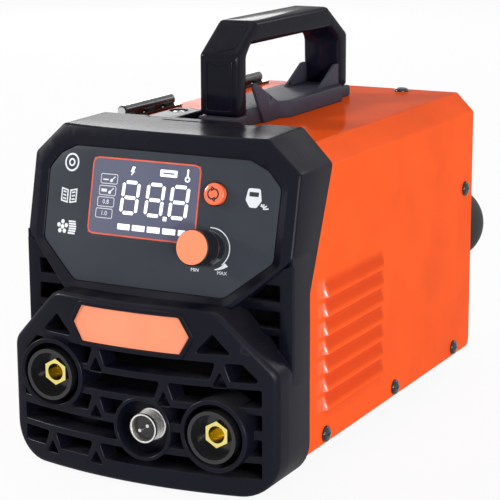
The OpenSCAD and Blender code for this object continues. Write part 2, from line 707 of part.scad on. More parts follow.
module handle_base() color("#1b1b1e") stand() difference() {
  union() {
    translate([0, 0, case_top]) linear_extrude(base_low_top - case_top) base_plan();
    translate([0, 0, case_top]) linear_extrude(base_h) intersection() {
      base_plan();
      translate([-base_w, handle_y + post_t + 0.2])
        square([2 * base_w, handle_l - 2 * post_t - 0.4]);
    }
    both_sides() yz(handle_w / 2 - 0.1, handle_w / 2 + ear_t) {
      polygon([[handle_y + 28, case_top], [handle_y + 46, case_top],
               [handle_y + 46, case_top + base_h], [handle_y + 18, case_top + ear_h],
               [handle_y + 14, case_top + ear_h]]);
    }
    both_sides() yz(handle_w / 2 - ear_t, handle_w / 2)
      polygon([[handle_end - 40, case_top + 1], [web_end, case_top + 1],
               [web_end, case_top + ear_h - 2], [web_end - 5, case_top + ear_h - 2],
               [handle_end - 40, case_top + base_h]]);
  }
  for (y = handle_screw_y) translate([0, y, case_top - 1]) cylinder(r = screw_hole_r, h = 12);
}

// Hinges of the side door
axis_x = case_bevel - half_w - 1.5;
axis_z = case_top + barrel_r + 0.25;
knuckles = 5;
knuckle_gap = 0.3;
leaf_t = 1.4;
module each_hinge() for (i = [0, 1]) translate([0, hinge_y + i * hinge_pitch, 0]) children();
module knuckle(i) {
  step = barrel_l / knuckles;
  difference() {
    rod_y(axis_x, axis_z, barrel_r, i * step + knuckle_gap / 2, (i + 1) * step - knuckle_gap / 2);
    rod_y(axis_x, axis_z, hinge_pin_r + fit, -1, barrel_l + 1);
  }
}
module hinge_fixed_leaves() color("#1d1d20") stand() each_hinge() {
  for (i = [0, 2, 4]) {
    knuckle(i);
    xz_span(i) polygon([[axis_x + 1.6, case_top], [axis_x + 5.6, case_top],
                        [axis_x + 5.6, case_top + leaf_t], [axis_x + 1.6, case_top + leaf_t]]);
  }
  box(axis_x + 5, axis_x + 8, 0, barrel_l, case_top, case_top + leaf_t);
}
module xz_span(i) {
  step = barrel_l / knuckles;
  xz(i * step + knuckle_gap / 2, (i + 1) * step - knuckle_gap / 2) children();
}
// Outline of the door leaf between two distances down the bevel
function bevel_point(along, out) = [case_bevel - half_w - (along + out) / sqrt(2),
                                    case_top - (along - out) / sqrt(2)];
function leaf_pts(a0, a1) = [bevel_point(a0, 0), bevel_point(a1, 0), bevel_point(a1, leaf_t),
                             bevel_point(a0, leaf_t)];
module hinge_door_leaves() color("#1d1d20") stand() each_hinge() {
  for (i = [1, 3]) {
    knuckle(i);
    xz_span(i) polygon(leaf_pts(0.3, 5));
  }
  xz(0, barrel_l) polygon(leaf_pts(4.5, 12));
}
module hinge_pins() color("#c8ccd0") stand() each_hinge() {
  rod_y(axis_x, axis_z, hinge_pin_r, 0, barrel_l);
  rod_y(axis_x, axis_z, barrel_r - 0.8, -1.2, 0.02);
}
cam_x = seat - half_w + cover_t + sheet_gap + chassis_t;   // outside of the latch cam
module latch_knob() color(black) stand() {
  difference() {
    rod_x(latch_y, latch_z, 9, -half_w - 2.2, -half_w);
    box(-half_w - 3, -half_w - 1.2, latch_y - 6, latch_y + 6, latch_z - 1, latch_z + 1);
  }
  rod_x(latch_y, latch_z, latch_r, -half_w - 0.1, cam_x);
  rod_x(latch_y, latch_z, latch_r - 1.5, -half_w, cam_x + 2.5);
}
module latch_cam() color(steel) stand() difference() {
  union() {
    rod_x(latch_y, latch_z, 6, cam_x, cam_x + chassis_t);
    box(cam_x, cam_x + chassis_t, latch_y, latch_y + 18, latch_z - 5, latch_z + 5);
  }
  rod_x(latch_y, latch_z, latch_r - 1.5 + fit, cam_x - 1, cam_x + 3);
}
module rubber_feet() color("#121214") stand() {
  both_sides() box(39, 56, 19, 35, 0, bezel_low);
  for (s = [-1, 1]) translate([s * 30, case_back - 30, 0]) cylinder(r = 9, h = case_low);
}

// Fan, switch and mains inlet
fan_wall = 2;
fan_hub_r = 13;
fan_pin_r = 1.5;
module fan_frame() color("#2a2a2e") stand() {
  difference() {
    box(fan_x - fan_w / 2, fan_x + fan_w / 2, rear_y - fan_d, rear_y,
        fan_z - fan_w / 2, fan_z + fan_w / 2);
    rod_y(fan_x, fan_z, fan_w / 2 - fan_wall, rear_y - fan_d - 1, rear_y + 1);
    for (x = [-1, 1], z = [-1, 1]) rod_y(fan_x + x * (fan_w / 2 - 5),
      fan_z + z * (fan_w / 2 - 5), 2, rear_y - fan_d - 1, rear_y + 1);
  }
  rod_y(fan_x, fan_z, fan_hub_r, rear_y - fan_d, rear_y - fan_d + 3);
  rod_y(fan_x, fan_z, fan_pin_r, rear_y - fan_d + 1, rear_y - 6);
  for (a = [0:90:270]) translate([fan_x, 0, fan_z]) rotate([0, a, 0])
    box(fan_hub_r - 1, fan_w / 2 - fan_wall + 0.5, rear_y - fan_d, rear_y - fan_d + 3, -1.5, 1.5);
}
module fan_rotor() color("#34343a") stand() difference() {
  union() {
    rod_y(fan_x, fan_z, fan_hub_r, rear_y - fan_d + 3.4, rear_y - 3);
    for (a = [0:360 / 7:359]) translate([fan_x, rear_y - fan_d / 2 + 0.5, fan_z]) rotate([0, a, 0])
      translate([fan_hub_r - 1, 0, 0]) rotate([38, 0, 0]) translate([0, -8, -0.6])
        cube([fan_w / 2 - fan_wall - fan_hub_r, 16, 1.2]);
  }
  rod_y(fan_x, fan_z, fan_pin_r + fit, rear_y - fan_d, rear_y - 5);
}
guard_wire = 0.9;
module fan_guard() color("#3a3a3e") stand() {
  for (r = [9:6.5:28.5]) translate([fan_x, rear_face + 3 * guard_wire, fan_z]) rotate([90, 0, 0])
    rotate_extrude() translate([r, 0]) circle(r = guard_wire, $fn = 16);
  for (a = [45:90:315]) translate([fan_x, 0, fan_z]) rotate([0, a, 0]) {
    box(8.5, (fan_w / 2 - 5) * sqrt(2), rear_face, rear_face + 2 * guard_wire, -guard_wire, guard_wire);
    rod_y((fan_w / 2 - 5) * sqrt(2), 0, 3.5, rear_face, rear_face + 1.2);
  }
}
rocker_w = 15;
module switch_housing() color("#1a1a1d") stand() difference() {
  union() {
    box(switch_x - 16, switch_x + 16, rear_face, rear_face + 2, switch_z - 13, switch_z + 13);
    box(switch_x - 13.7, switch_x + 13.7, rear_y - 14, rear_face + 0.1, switch_z - 10.7, switch_z + 10.7);
  }
  box(switch_x - rocker_w / 2 - 0.4, switch_x + rocker_w / 2 + 0.4, rear_y - 9, rear_face + 3,
      switch_z - 9, switch_z + 9);
  rod_x(rear_face - 3, switch_z, 1.5 + fit, switch_x - 10, switch_x + 10);
}
module switch_rocker() color("#b3261e") stand() difference() {
  union() {
    translate([0, rear_face - 3, switch_z]) rotate([rocker_rest, 0, 0])
      yz(switch_x - rocker_w / 2, switch_x + rocker_w / 2)
        polygon([[-1, -7.5], [5.5, -7.5], [4, 0], [5.5, 7.5], [-1, 7.5], [-4, 3], [-4, -3]]);
    rod_x(rear_face - 3, switch_z, 1.5, switch_x - 9.6, switch_x + 9.6);
  }
}
rocker_rest = 8;
dome_y = rear_face + 16;                   // centre of the boot's dome
boot_r0 = sqrt(boot_r * boot_r - (dome_y - rear_face) * (dome_y - rear_face));
boot_r1 = sqrt(boot_r * boot_r - (boot_end - dome_y) * (boot_end - dome_y));
boot_a0 = -atan2(dome_y - rear_face, boot_r0);
boot_a1 = atan2(boot_end - dome_y, boot_r1);
module mains_boot() color("#151518") stand() translate([inlet_x, dome_y, inlet_z]) rotate([-90, 0, 0])
  rotate_extrude() polygon(concat(
    [[cord_r, rear_y - 12 - dome_y], [neck_r, rear_y - 12 - dome_y], [neck_r, rear_face - dome_y]],
    arc([0, 0], boot_r, boot_a0, boot_a1, 20), [[cord_r, boot_end - dome_y]]));
cord_r = 4.5;
module mains_boot_nut() color("#2a2a2e") stand() nut_y(inlet_x, inlet_z, 22, neck_r, rear_y - 5, 5);

// Electronics
board_z = floor_top + 7.5;
board_top = board_z + board_t;
board_x = [part_x + 8, inner_x - 5.5];
board_ys = [62, 252];
bay_x = (board_x[0] + board_x[1]) / 2;     // middle of the main board
standoff_at = [for (x = [board_x[0] + 5, board_x[1] - 5], y = [70, 157, 244]) [x, y]];
module main_board() color("#1f6b3a") stand() difference() {
  box(board_x[0], board_x[1], board_ys[0], board_ys[1], board_z, board_top);
  for (p = standoff_at) translate([p[0], p[1], board_z - 1]) cylinder(r = 1.7, h = 4);
}
module board_standoffs() color(brass) stand() for (p = standoff_at)
  translate([p[0], p[1], floor_top]) {
    cylinder(r = 3, h = board_z - floor_top);
    cylinder(r = 1.6, h = board_top - floor_top + 0.8);
  }
sink_z = 96;
sink_fins = 8;
sink_front = [120, 140];                   // front ends of the right and left heatsinks
sink_back = 236;
sink_x = [bay_x + 16, bay_x - 16];
module heatsink(x0, side, y0, y1) translate([x0, 0, 0]) mirror([side, 0, 0]) {
  box(0, 4, y0, y1, board_top, sink_z);
  for (i = [0:sink_fins - 1]) box(3.9, 20, y0, y1, board_top + 1 + i * 9.5, board_top + 2.6 + i * 9.5);
}
module heatsinks() color("#aeb4ba") stand() {
  for (i = [0, 1]) heatsink(sink_x[i], i, sink_front[i], sink_back);
}
transistor_y = [for (i = [0:2]) 155 + i * 30];
module power_transistors() color("#161618") stand() for (y = transistor_y) {
  box(sink_x[0] - 4.8, sink_x[0] - seat, y - 8, y + 8, 40, 60);
  box(sink_x[1] + seat, sink_x[1] + 4.8, y - 8, y + 8, 40, 60);
  for (x = [sink_x[0] - 2, sink_x[1] + 2], k = [-5.4, 0, 5.4])
    box(x - 0.4, x + 0.4, y + k - 0.6, y + k + 0.6, board_top, 40.1);
}
capacitor_at = [[bay_x + 2, 76], [bay_x + 25, 82], [bay_x + 25, 106]];
module bulk_capacitors() color("#20242e") stand() for (p = capacitor_at)
  translate([p[0], p[1], board_top]) {
    cylinder(r = 11, h = 38);
    translate([0, 0, 37.9]) cylinder(r = 9.5, h = 0.6);
  }
core_y = [147, 183];
core_x = [bay_x - 9, bay_x + 9];
core_h = 42;
module transformer_core() color("#3b3b40") stand() difference() {
  box(core_x[0], core_x[1], core_y[0], core_y[1], board_top, board_top + core_h);
  for (s = [0, 1]) box(core_x[0] - 1, core_x[1] + 1, core_y[0] + 5 + s * 17.5, core_y[0] + 13.5 + s * 17.5,
                       board_top + 6, board_top + core_h - 6);
}
module transformer_windings() color("#c9862e") stand() difference() {
  box(core_x[0] - 1.8, core_x[1] + 1.8, core_y[0] + 5.3, core_y[1] - 5.3,
      board_top + 6.3, board_top + core_h - 6.3);
  box(core_x[0] - 0.1, core_x[1] + 0.1, core_y[0] + 13.2, core_y[1] - 13.2,
      board_top + 5, board_top + core_h - 5);
}
module output_choke() color("#b8732c") stand() translate([bay_x - 2, 127, board_top])
  rotate_extrude() translate([6, 0]) square([9, 16]);

// Wire spool
spool_x0 = cover_t - half_w + nut_room;     // outer flange of the spool
spool_x1 = part_left - spool_gap;
spool_flange = 2;
spool_core = 22;
thread_r = spindle_r - 2;                  // thread at the end of the spindle
module spool_hub() color("#303036") stand() difference() {
  union() {
    rod_x(spool_y, spool_z, 15, part_left - spool_gap + seat, part_left);
    rod_x(spool_y, spool_z, spindle_r, spool_x0 - 0.1, part_left);
    rod_x(spool_y, spool_z, thread_r, spool_x0 - 4, part_left);
  }
  rod_x(spool_y, spool_z, 3, spool_x0 + 10, part_left + 1);
}
module wire_spool() color("#1f1f24") stand() difference() {
  union() {
    for (x = [spool_x0, spool_x1 - spool_flange]) rod_x(spool_y, spool_z, spool_r, x, x + spool_flange);
    rod_x(spool_y, spool_z, spool_core, spool_x0, spool_x1);
  }
  rod_x(spool_y, spool_z, spindle_r + fit, spool_x0 - 1, spool_x1 + 1);
}
module wire_winding() color("#c58a5a") stand() difference() {
  rod_x(spool_y, spool_z, wire_r, spool_x0 + spool_flange, spool_x1 - spool_flange);
  rod_x(spool_y, spool_z, spool_core + fit, spool_x0, spool_x1);
}
module spool_nut() color("#26262b") stand() difference() {
  union() {
    rod_x(spool_y, spool_z, 13, spool_x0 - 3.3, spool_x0 - seat);
    for (a = [0:60:300]) translate([0, spool_y, spool_z]) rotate([a, 0, 0])
      rod_x(12, 0, 2.5, spool_x0 - 3.3, spool_x0 - seat);
  }
  rod_x(spool_y, spool_z, thread_r + fit, spool_x0 - 4, spool_x0);
}

// Wire feeder
feeder_t = 8;
feeder_x = part_left - feeder_t;           // left face of the feeder plate
roll_w = 7.4;
roll_x = -socket_x - roll_w / 2;
arm_y = feed_y - 23;                       // pivot of the pressure arm
arm_z = drive_z + 29.9;
press_z = gun_z + 0.4 + press_r;
arm_x = roll_x - 6.5;                      // left face of the pressure arm
arm_t = 4.5;
screw_y = feed_y + 25;                     // pivot of the tension arm
screw_pivot_z = drive_z - 1.1;
tension_x = arm_x + arm_t / 2;
pin_r = 3;
module feeder_plate() color("#c3c7cb") stand() difference() {
  union() {
    box(feeder_x, part_left, arm_y - 9, screw_y + 9, drive_z - 13, arm_z + 9);
    rod_x(feed_y, drive_z, 8, roll_x + roll_w + 0.4, feeder_x + 1);
    rod_x(arm_y, arm_z, pin_r, arm_x - 1.5, feeder_x + 1);
    rod_x(screw_y, screw_pivot_z, pin_r, arm_x - 1.5, feeder_x + 1);
  }
  rod_x(feed_y, drive_z, shaft_r + fit, roll_x, part_left + 1);
}
motor_l = 36;
module feed_motor() color("#8f959b") stand() difference() {
  union() {
    rod_x(feed_y, drive_z, 15, part_x, part_x + motor_l);
    rod_x(feed_y, drive_z, 7.5, feeder_x + feeder_t, part_x + 1);
  }
  rod_x(feed_y, drive_z, shaft_r + fit, feeder_x, part_x + 12);
}
module drive_roll() color("#9ba1a7") stand() difference() {
  union() {
    rod_x(feed_y, drive_z, drive_r, roll_x, roll_x + roll_w);
    rod_x(feed_y, drive_z, shaft_r, roll_x - 2, part_x + 11);
  }
  translate([-socket_x, feed_y, drive_z]) rotate([0, 90, 0])
    rotate_extrude() translate([drive_r + 0.4, 0]) circle(r = 0.7, $fn = 16);
}
fork_z = arm_z + 4;                        // top of the arm's fork
module pressure_arm() color("#2b2b30") stand() difference() {
  union() {
    yz(arm_x, arm_x + arm_t) polygon([[arm_y, arm_z - 6], [feed_y - 8, arm_z - 9],
      [feed_y - 4, press_z - 4.5], [feed_y + 4, press_z - 4.5], [feed_y + 8, arm_z - 8],
      [screw_y - 3, arm_z - 4], [screw_y - 3, fork_z], [arm_y, arm_z + 6]]);
    rod_x(arm_y, arm_z, 6.5, arm_x, roll_x + 8);
    rod_x(feed_y, press_z, 2.5, arm_x, roll_x + roll_w + 0.4);
    difference() {
      box(tension_x - 6, tension_x + 6, screw_y - 6, screw_y + 5, arm_z - 3, fork_z);
      box(tension_x - 2.4, tension_x + 2.4, screw_y - 2.6, screw_y + 6, arm_z - 4, fork_z + 1);
    }
  }
  rod_x(arm_y, arm_z, pin_r + fit, arm_x - 1, roll_x + 9);
}
module pressure_roll() color("#8a9097") stand() difference() {
  rod_x(feed_y, press_z, press_r, roll_x, roll_x + roll_w);
  rod_x(feed_y, press_z, 2.5 + fit, roll_x - 1, roll_x + roll_w + 1);
}
tension_lean = 50;                         // backward lean of the released tension arm
tension_l = fork_z - screw_pivot_z + 0.5;  // from the pivot to the tension knob
knob_l = 16;
module tension_frame() translate([tension_x, screw_y, screw_pivot_z]) rotate([-tension_lean, 0, 0])
  children();
module tension_arm() color(steel) stand() tension_frame() difference() {
  union() {
    rod_x(0, 0, 6, -2, 2);
    translate([0, 0, 4]) cylinder(r = 2, h = tension_l + knob_l - 6);
  }
  rod_x(0, 0, pin_r + fit, -3, 3);
}
module tension_knob() color("#1c1c20") stand() tension_frame() difference() {
  union() {
    translate([0, 0, tension_l]) cylinder(r = 7, h = knob_l);
    for (a = [0:45:315]) rotate([0, 0, a]) translate([6.6, 0, tension_l + 3])
      cylinder(r = 1.2, h = knob_l - 4);
  }
  translate([0, 0, tension_l - 1]) cylinder(r = 2 + fit, h = knob_l);
}
module wire_guide(y0, y1) {
  difference() {
    rod_y(-socket_x, gun_z, 2.5, y0, y1);
    rod_y(-socket_x, gun_z, 0.8, y0 - 1, y1 + 1);
  }
  box(-socket_x + 2, feeder_x, y0 + 3, y0 + 11, gun_z - 2, gun_z + 2);
}
module wire_guides() color(brass) stand() {
  wire_guide(feed_y - 32, feed_y - 14);
  wire_guide(feed_y + 14, feed_y + 36);
}

chassis_tray();
inner_front_panel();
rear_panel();
partition_plate();
top_cover();
side_door();
front_bezel();
control_membrane();
display_window();
display_board();
led_display();
mode_button();
current_knob();
knob_cap();
potentiometer();
badge_plate();
gun_socket_shell();
gun_socket_contact();
ground_socket_shell();
ground_socket_contact();
connector_nuts();
signal_connector_shell();
signal_connector_insert();
signal_connector_pins();
handle_base();
handle_grip();
case_screws();
hinge_fixed_leaves();
hinge_door_leaves();
hinge_pins();
latch_knob();
latch_cam();
rubber_feet();
fan_frame();
fan_rotor();
fan_guard();
switch_housing();
switch_rocker();
mains_boot();
mains_boot_nut();
main_board();
board_standoffs();
heatsinks();
power_transistors();
bulk_capacitors();
transformer_core();
transformer_windings();
output_choke();
spool_hub();
wire_spool();
wire_winding();
spool_nut();
feeder_plate();
feed_motor();
drive_roll();
pressure_arm();
pressure_roll();
tension_arm();
tension_knob();
wire_guides();
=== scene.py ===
import math
import bmesh
import bpy
import numpy as np
from mathutils import Matrix, Vector
from mathutils.geometry import delaunay_2d_cdt


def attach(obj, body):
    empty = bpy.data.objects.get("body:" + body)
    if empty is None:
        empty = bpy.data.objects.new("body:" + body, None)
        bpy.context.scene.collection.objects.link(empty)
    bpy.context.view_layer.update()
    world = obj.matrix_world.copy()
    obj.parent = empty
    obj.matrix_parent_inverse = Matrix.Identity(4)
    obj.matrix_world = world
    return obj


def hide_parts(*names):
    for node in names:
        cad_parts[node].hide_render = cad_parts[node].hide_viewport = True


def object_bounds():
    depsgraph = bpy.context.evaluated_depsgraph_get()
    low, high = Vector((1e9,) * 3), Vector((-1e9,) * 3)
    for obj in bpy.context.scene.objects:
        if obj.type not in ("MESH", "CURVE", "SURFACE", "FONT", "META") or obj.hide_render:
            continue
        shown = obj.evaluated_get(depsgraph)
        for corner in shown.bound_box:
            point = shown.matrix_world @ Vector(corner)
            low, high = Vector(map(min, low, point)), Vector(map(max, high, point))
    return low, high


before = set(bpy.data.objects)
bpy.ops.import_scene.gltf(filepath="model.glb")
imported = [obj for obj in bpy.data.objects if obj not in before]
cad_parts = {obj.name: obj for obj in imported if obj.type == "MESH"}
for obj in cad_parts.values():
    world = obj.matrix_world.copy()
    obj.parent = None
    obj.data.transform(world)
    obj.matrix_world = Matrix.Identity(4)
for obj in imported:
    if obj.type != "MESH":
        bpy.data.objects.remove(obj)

bl_info = {
    "name": "Compact Wire Welder",
    "version": (1, 0, 0),
    "blender": (4, 5, 0),
    "location": "View3D > Sidebar > Welder",
    "description": "Builds and finishes a compact wire-feed welding machine on its CAD frame",
    "category": "Object",
}

CAD_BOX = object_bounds()
RIM_HEIGHT = 1.2                                   # mm, the badge rim ahead of the nose
NOSE = CAD_BOX[0][1] * 1000 + RIM_HEIGHT           # mm, frame y of the nose plane

# ---------------------------------------------------------------- sizes in millimetres
HALF_W = 77.0                                      # steel cover, half width
CASE_LOW, CASE_TOP = 15.0, 175.5
CASE_FRONT, CASE_BACK, REAR_CORNER = 46.0, 285.0, 5.0
BEVEL, FOLD, SHEET = 11.0, 2.0, 1.2                # strip along the top edges, radius of its folds, sheet thickness
HALF_B, WALL = 79.5, 3.0                           # front bezel, half width and wall
BEZEL_LOW, BEZEL_TOP = 3.0, 183.5
SKIRT_Y, REAR_SOFT, REAR_TAPER = 49.0, 0.6, 0.997  # the bezel's rear edge: its y, and how it is eased
NOSE_BOW, FACE_BOW = 259.0, 358.0                  # radii of the bowed bumper and control face
BUMPER_TOP, BUMPER_FLAT, BUMPER_DEEP = 100.5, 48.0, 12.0
SHOULDER = BUMPER_TOP - (HALF_B - BUMPER_FLAT)     # where the bumper's sides turn inwards
CELL_DEEP = 5.0                                    # pits below the grille's peaks
BADGE_DEEP = 1.3                                   # the badge's floor inside its raised rim
WING_Y, WING_DEEP = 28.0, 3.2
FACE_Y, FACE_Z, LEAN = 19.5, 125.0, math.radians(12.95)
FACE_SOFT, FACE_FLOOR, FACE_BACK = 1.6, 2.85, 6.1  # edge of the control face, the floor under its film, its back
FACE_RECESS = 2.2                                  # the film's surface
PRINT_FRONT, PRINT_BACK = FACE_RECESS - 0.05, FACE_RECESS + 0.02
NOTCH_X, NOTCH_R, NOTCH_Y = 32, 7.5, 79            # round notch in the bezel's upper rear edge
SOCKET_X, GUN_Z, GROUND_Z = 48.3, 56.0, 36.0
SIGNAL_X, SIGNAL_Z = 7.0, 34.0
INNER_LIP = 0.6                                    # radius of the collars' inner lip
# outer and inner radius, bore, back, start and radius of the outer lip, start of the inner lip, floor
COLLAR = (19.3, 16.6, 11.6, 20.8, 1.3, 0.8, 1.1, 16.0)
CUP = (17.2, 15.0, 8.0, 12.9, 0.6, 0.9, 0.3, 9.5)
PLUGS = [(-SOCKET_X, GUN_Z, COLLAR), (SOCKET_X, GROUND_Z, COLLAR), (SIGNAL_X, SIGNAL_Z, CUP)]
CONTROL_X, KNOB_V, BUTTON_V, BUTTON_R = 35.0, 3.4, 31.0, 5.7
KNOB_R, KNOB_BACK, KNOB_LONG = 9.3, 2.8, 18.5
TAB_X, TAB_Y, TAB_FRONT, TAB_END, TAB_SINK = -26.5, 101.0, 74.0, 110.0, 2.6
HANDLE_Y, HANDLE_LONG, HANDLE_TOP, HANDLE_HALF = 98.0, 142.0, 232.3, 12.0
HANDLE_END = HANDLE_Y + HANDLE_LONG
POST, GRIP, SEAT, PLATFORM = 11.5, 12.5, 6.5, 9.5  # the posts and grip of the handle, heights of its base
DOOR_Y = (80.0, 276.0)
DOOR_LOW, DOOR_GAP = 26.0, 0.8
LOUVRE_N, LOUVRE_LOW, LOUVRE_PITCH, LOUVRE_OUT = 7, 34.0, 10.25, 2.4
LOUVRE_HIGH, LOUVRE_LIP = 6.8, 0.5                 # height of one pressing, and its straight lip
LOUVRE_Y, LOUVRE_LONG = 69.0, 81.0
NOSE_RUN, TAIL_RUN = 2.0, 6.5                      # lengths over which a louvre rises and falls
LOUVRE_END = LOUVRE_Y + LOUVRE_LONG
INSIDE = (0, 0, 0.09)                              # m, a point in the machine, for open shells
MERGE = 2e-6                                       # m, points nearer than this become one
STRAIGHT = 1.55                                    # half angle in radians from which a corner counts as straight
CLEAR = 0.8                                        # distance of a filling's inner points from its edges
OPEN_SOFT, OPEN_SHARE = 0.95, 0.4                  # corners of the grille's openings: radius, share of a short edge

# open rows of the grille: low and high edge, and the middles of the peaks that stand in them
GRILLE = [(64.5, 73.5, (-21, 50)), (51.5, 60.5, (19.5,)), (39.5, 47.5, (-21.5,)), (26, 34.5, ()), (14, 22, (-52, -22))]
MODE_BOXES = [(30.9, 36.2), (24.8, 30.0), (18.8, 24.0), (12.8, 18.0)]
# a figure's segments in half widths and half heights: top, middle, low, upper two, lower two
SEGMENTS = (((-0.62, 1), (0.62, 1)), ((-0.62, 0), (0.62, 0)), ((-0.62, -1), (0.62, -1)), ((-1, 0.12), (-1, 0.88)),
            ((1, 0.12), (1, 0.88)), ((-1, -0.88), (-1, -0.12)), ((1, -0.88), (1, -0.12)))
DIGIT_W, DIGIT_H, DIGIT_SLANT, BAR = 4.55, 8.0, 0.05, 1.85


def colour_of(name, text, default):
    return bpy.props.FloatVectorProperty(name=name, description=text, subtype="COLOR", size=3, default=default,
                                         min=0, max=1)


class WelderSizes(bpy.types.PropertyGroup):
    """What can be set before the steps run"""
    edge: bpy.props.FloatProperty(name="Edge radius", description="Rounding of the bezel's moulded edges, in mm",
                                  default=0.8, min=0.3, max=1.2)
    paint: colour_of("Cover paint", "Colour of the powder coat", (0.97, 0.106, 0.012))
    plastic: colour_of("Bezel plastic", "Colour of the moulded bezel", (0.005, 0.005, 0.011))
    film: colour_of("Control film", "Colour of the control membrane", (0.042, 0.048, 0.058))


# ---------------------------------------------------------------- places
def metres(x, y, z):
    """Machine millimetres, with y back from the nose, to frame metres: (x, y + NOSE, z) / 1000."""
    x, y, z = np.broadcast_arrays(x, y, z)
    return np.stack([x, y + NOSE, z], -1) / 1000


def sag(radius, x):
    """How far a bow of that radius has fallen back at x: R - sqrt(R^2 - x^2)."""
    return radius - np.sqrt(radius ** 2 - np.asarray(x, float) ** 2)


def on_nose(a, b, c):
    """Across a, height b and depth c behind the bowed bumper front."""
    return metres(a, c + sag(NOSE_BOW, a), b)


def on_face_flat(a, b, c):
    """Across a, b up the leaned plane of the control face and depth c behind it."""
    return metres(a, FACE_Y + c * math.cos(LEAN) + b * math.sin(LEAN),
                  FACE_Z - c * math.sin(LEAN) + b * math.cos(LEAN))


def on_face(a, b, c):
    """The same on the bowed control face: depth c counts from its bow."""
    return on_face_flat(a, b, c + sag(FACE_BOW, a))


def face_height(x, z):
    """The height up the control face of the surface point at x and level z."""
    return (z - FACE_Z + sag(FACE_BOW, x) * math.sin(LEAN)) / math.cos(LEAN)


def flat_xz(y):
    """A wrap on the upright plane at y: across a, height b, depth c."""
    return lambda a, b, c: metres(a, y + c, b)


def side_wall(x):
    """A wrap on the upright plane at x: y is a, height is b, and depth c goes to the left."""
    return lambda a, b, c: metres(x - c, a, b)


def plan(z):
    """A wrap on the level plane at z: across a, back b, and depth c goes down."""
    return lambda a, b, c: metres(a, b, z - c)


def button_face(a, b, c):
    """The domed front of the mode button: depth 1.9 - 0.9 sin(u), with cos(u) ** 0.9 the share of its radius."""
    share = np.clip(np.hypot(a - CONTROL_X, b - BUTTON_V) / BUTTON_R, 0, 1) ** (1 / 0.9)
    return on_face_flat(a, b, 1.9 - 0.9 * np.sqrt(1 - share ** 2) + c)


def bezel_rear(z):
    """The bezel's rear edge: upright at first, then leaning back to the top."""
    return np.interp(z, [103.0, 164.7, BEZEL_TOP], [SKIRT_Y, 75.0, 78.5])


# ---------------------------------------------------------------- outlines
def rounded(corners, radii, seg=6, step=5.0):
    """A closed outline (counter-clockwise): each corner becomes an arc of its radius in seg steps, and each
    straight run is split so that no step is longer than step."""
    pts = np.asarray(corners, float)
    radii = np.broadcast_to(radii, len(pts))
    arcs = []
    for p0, p, p1, r in zip(np.roll(pts, 1, 0), pts, np.roll(pts, -1, 0), radii):
        u, v = (p0 - p) / np.linalg.norm(p0 - p), (p1 - p) / np.linalg.norm(p1 - p)
        half = math.acos(max(-1.0, min(1.0, float(u @ v)))) / 2
        if r <= 0 or half > STRAIGHT:
            arcs.append(p[None, :])
            continue
        cut = r / math.tan(half)
        mid = p + (u + v) / np.linalg.norm(u + v) * r / math.sin(half)
        a, b = p + u * cut - mid, p + v * cut - mid
        t = np.linspace(0, 1, seg + 1)[:, None]
        w = math.acos(max(-1.0, min(1.0, float(a @ b) / r ** 2)))
        arcs.append(mid + (np.sin((1 - t) * w) * a + np.sin(t * w) * b) / math.sin(w))
    out = []
    for arc, nxt in zip(arcs, arcs[1:] + arcs[:1]):
        gap = nxt[0] - arc[-1]
        n = max(1, int(math.ceil(np.linalg.norm(gap) / step)))
        out += [arc, arc[-1] + gap * (np.arange(1, n) / n)[:, None]]
    return np.concatenate(out)


def inset(pts, d):
    """Moves a closed outline by d towards its left side, mitred at each point."""
    e = np.roll(pts, -1, 0) - pts
    nrm = np.stack([-e[:, 1], e[:, 0]], 1) / np.linalg.norm(e, axis=1)[:, None]
    n0, n1 = np.roll(nrm, 1, 0), nrm
    return pts + d * (n0 + n1) / np.maximum(1 + (n0 * n1).sum(1), 0.5)[:, None]


def stroke(points, width):
    """The outline of an open polyline of that width."""
    pts = np.asarray(points, float)
    e = np.diff(pts, axis=0)
    nrm = np.stack([-e[:, 1], e[:, 0]], 1) / np.linalg.norm(e, axis=1)[:, None]
    both = np.concatenate([nrm[:1], (nrm[:-1] + nrm[1:]) / (1 + (nrm[:-1] * nrm[1:]).sum(1))[:, None], nrm[-1:]])
    return np.concatenate([pts - both * width / 2, (pts + both * width / 2)[::-1]])


def polar(cx, cy, r, a):
    """The points at angles a round (cx, cy): (cx + r cos a, cy + r sin a)."""
    return np.stack([cx + r * np.cos(a), cy + r * np.sin(a)], 1)


def circle(cx, cy, r, n=64):
    """n points round a circle, counter-clockwise."""
    return polar(cx, cy, r, 2 * np.pi * np.arange(n) / n)


def arc_points(cx, cy, r, a0, a1, n=6):
    """n + 1 points of an arc, angles in degrees."""
    return [(cx + r * math.cos(t), cy + r * math.sin(t)) for t in np.radians(np.linspace(a0, a1, n + 1))]


def fold_arc(x, z, a0, a1):
    """The outer line of a folded corner at (x, z), turning from outward angle a0 to a1."""
    b0, b1 = math.radians(a0), math.radians(a1)
    half = (b0 + b1) / 2
    c = FOLD / math.cos((b0 - b1) / 2)
    return arc_points(x - c * math.cos(half), z - c * math.sin(half), FOLD, a0, a1, 4)


def box(x0, x1, z0, z1):
    """The corners of a box, counter-clockwise."""
    return np.array([(x0, z0), (x1, z0), (x1, z1), (x0, z1)], float)


def box_loop(x0, x1, z0, z1, r=0.0):
    return rounded(box(x0, x1, z0, z1), r, 4, 6.0)


def mirror(points, side):
    """The points at that side (1 or -1) of the middle, still counter-clockwise."""
    return (np.array(points, float) * (side, 1.0))[::side]


def signed_area(loop):
    x, y = loop.T
    return 0.5 * (x * np.roll(y, -1) - y * np.roll(x, -1)).sum()


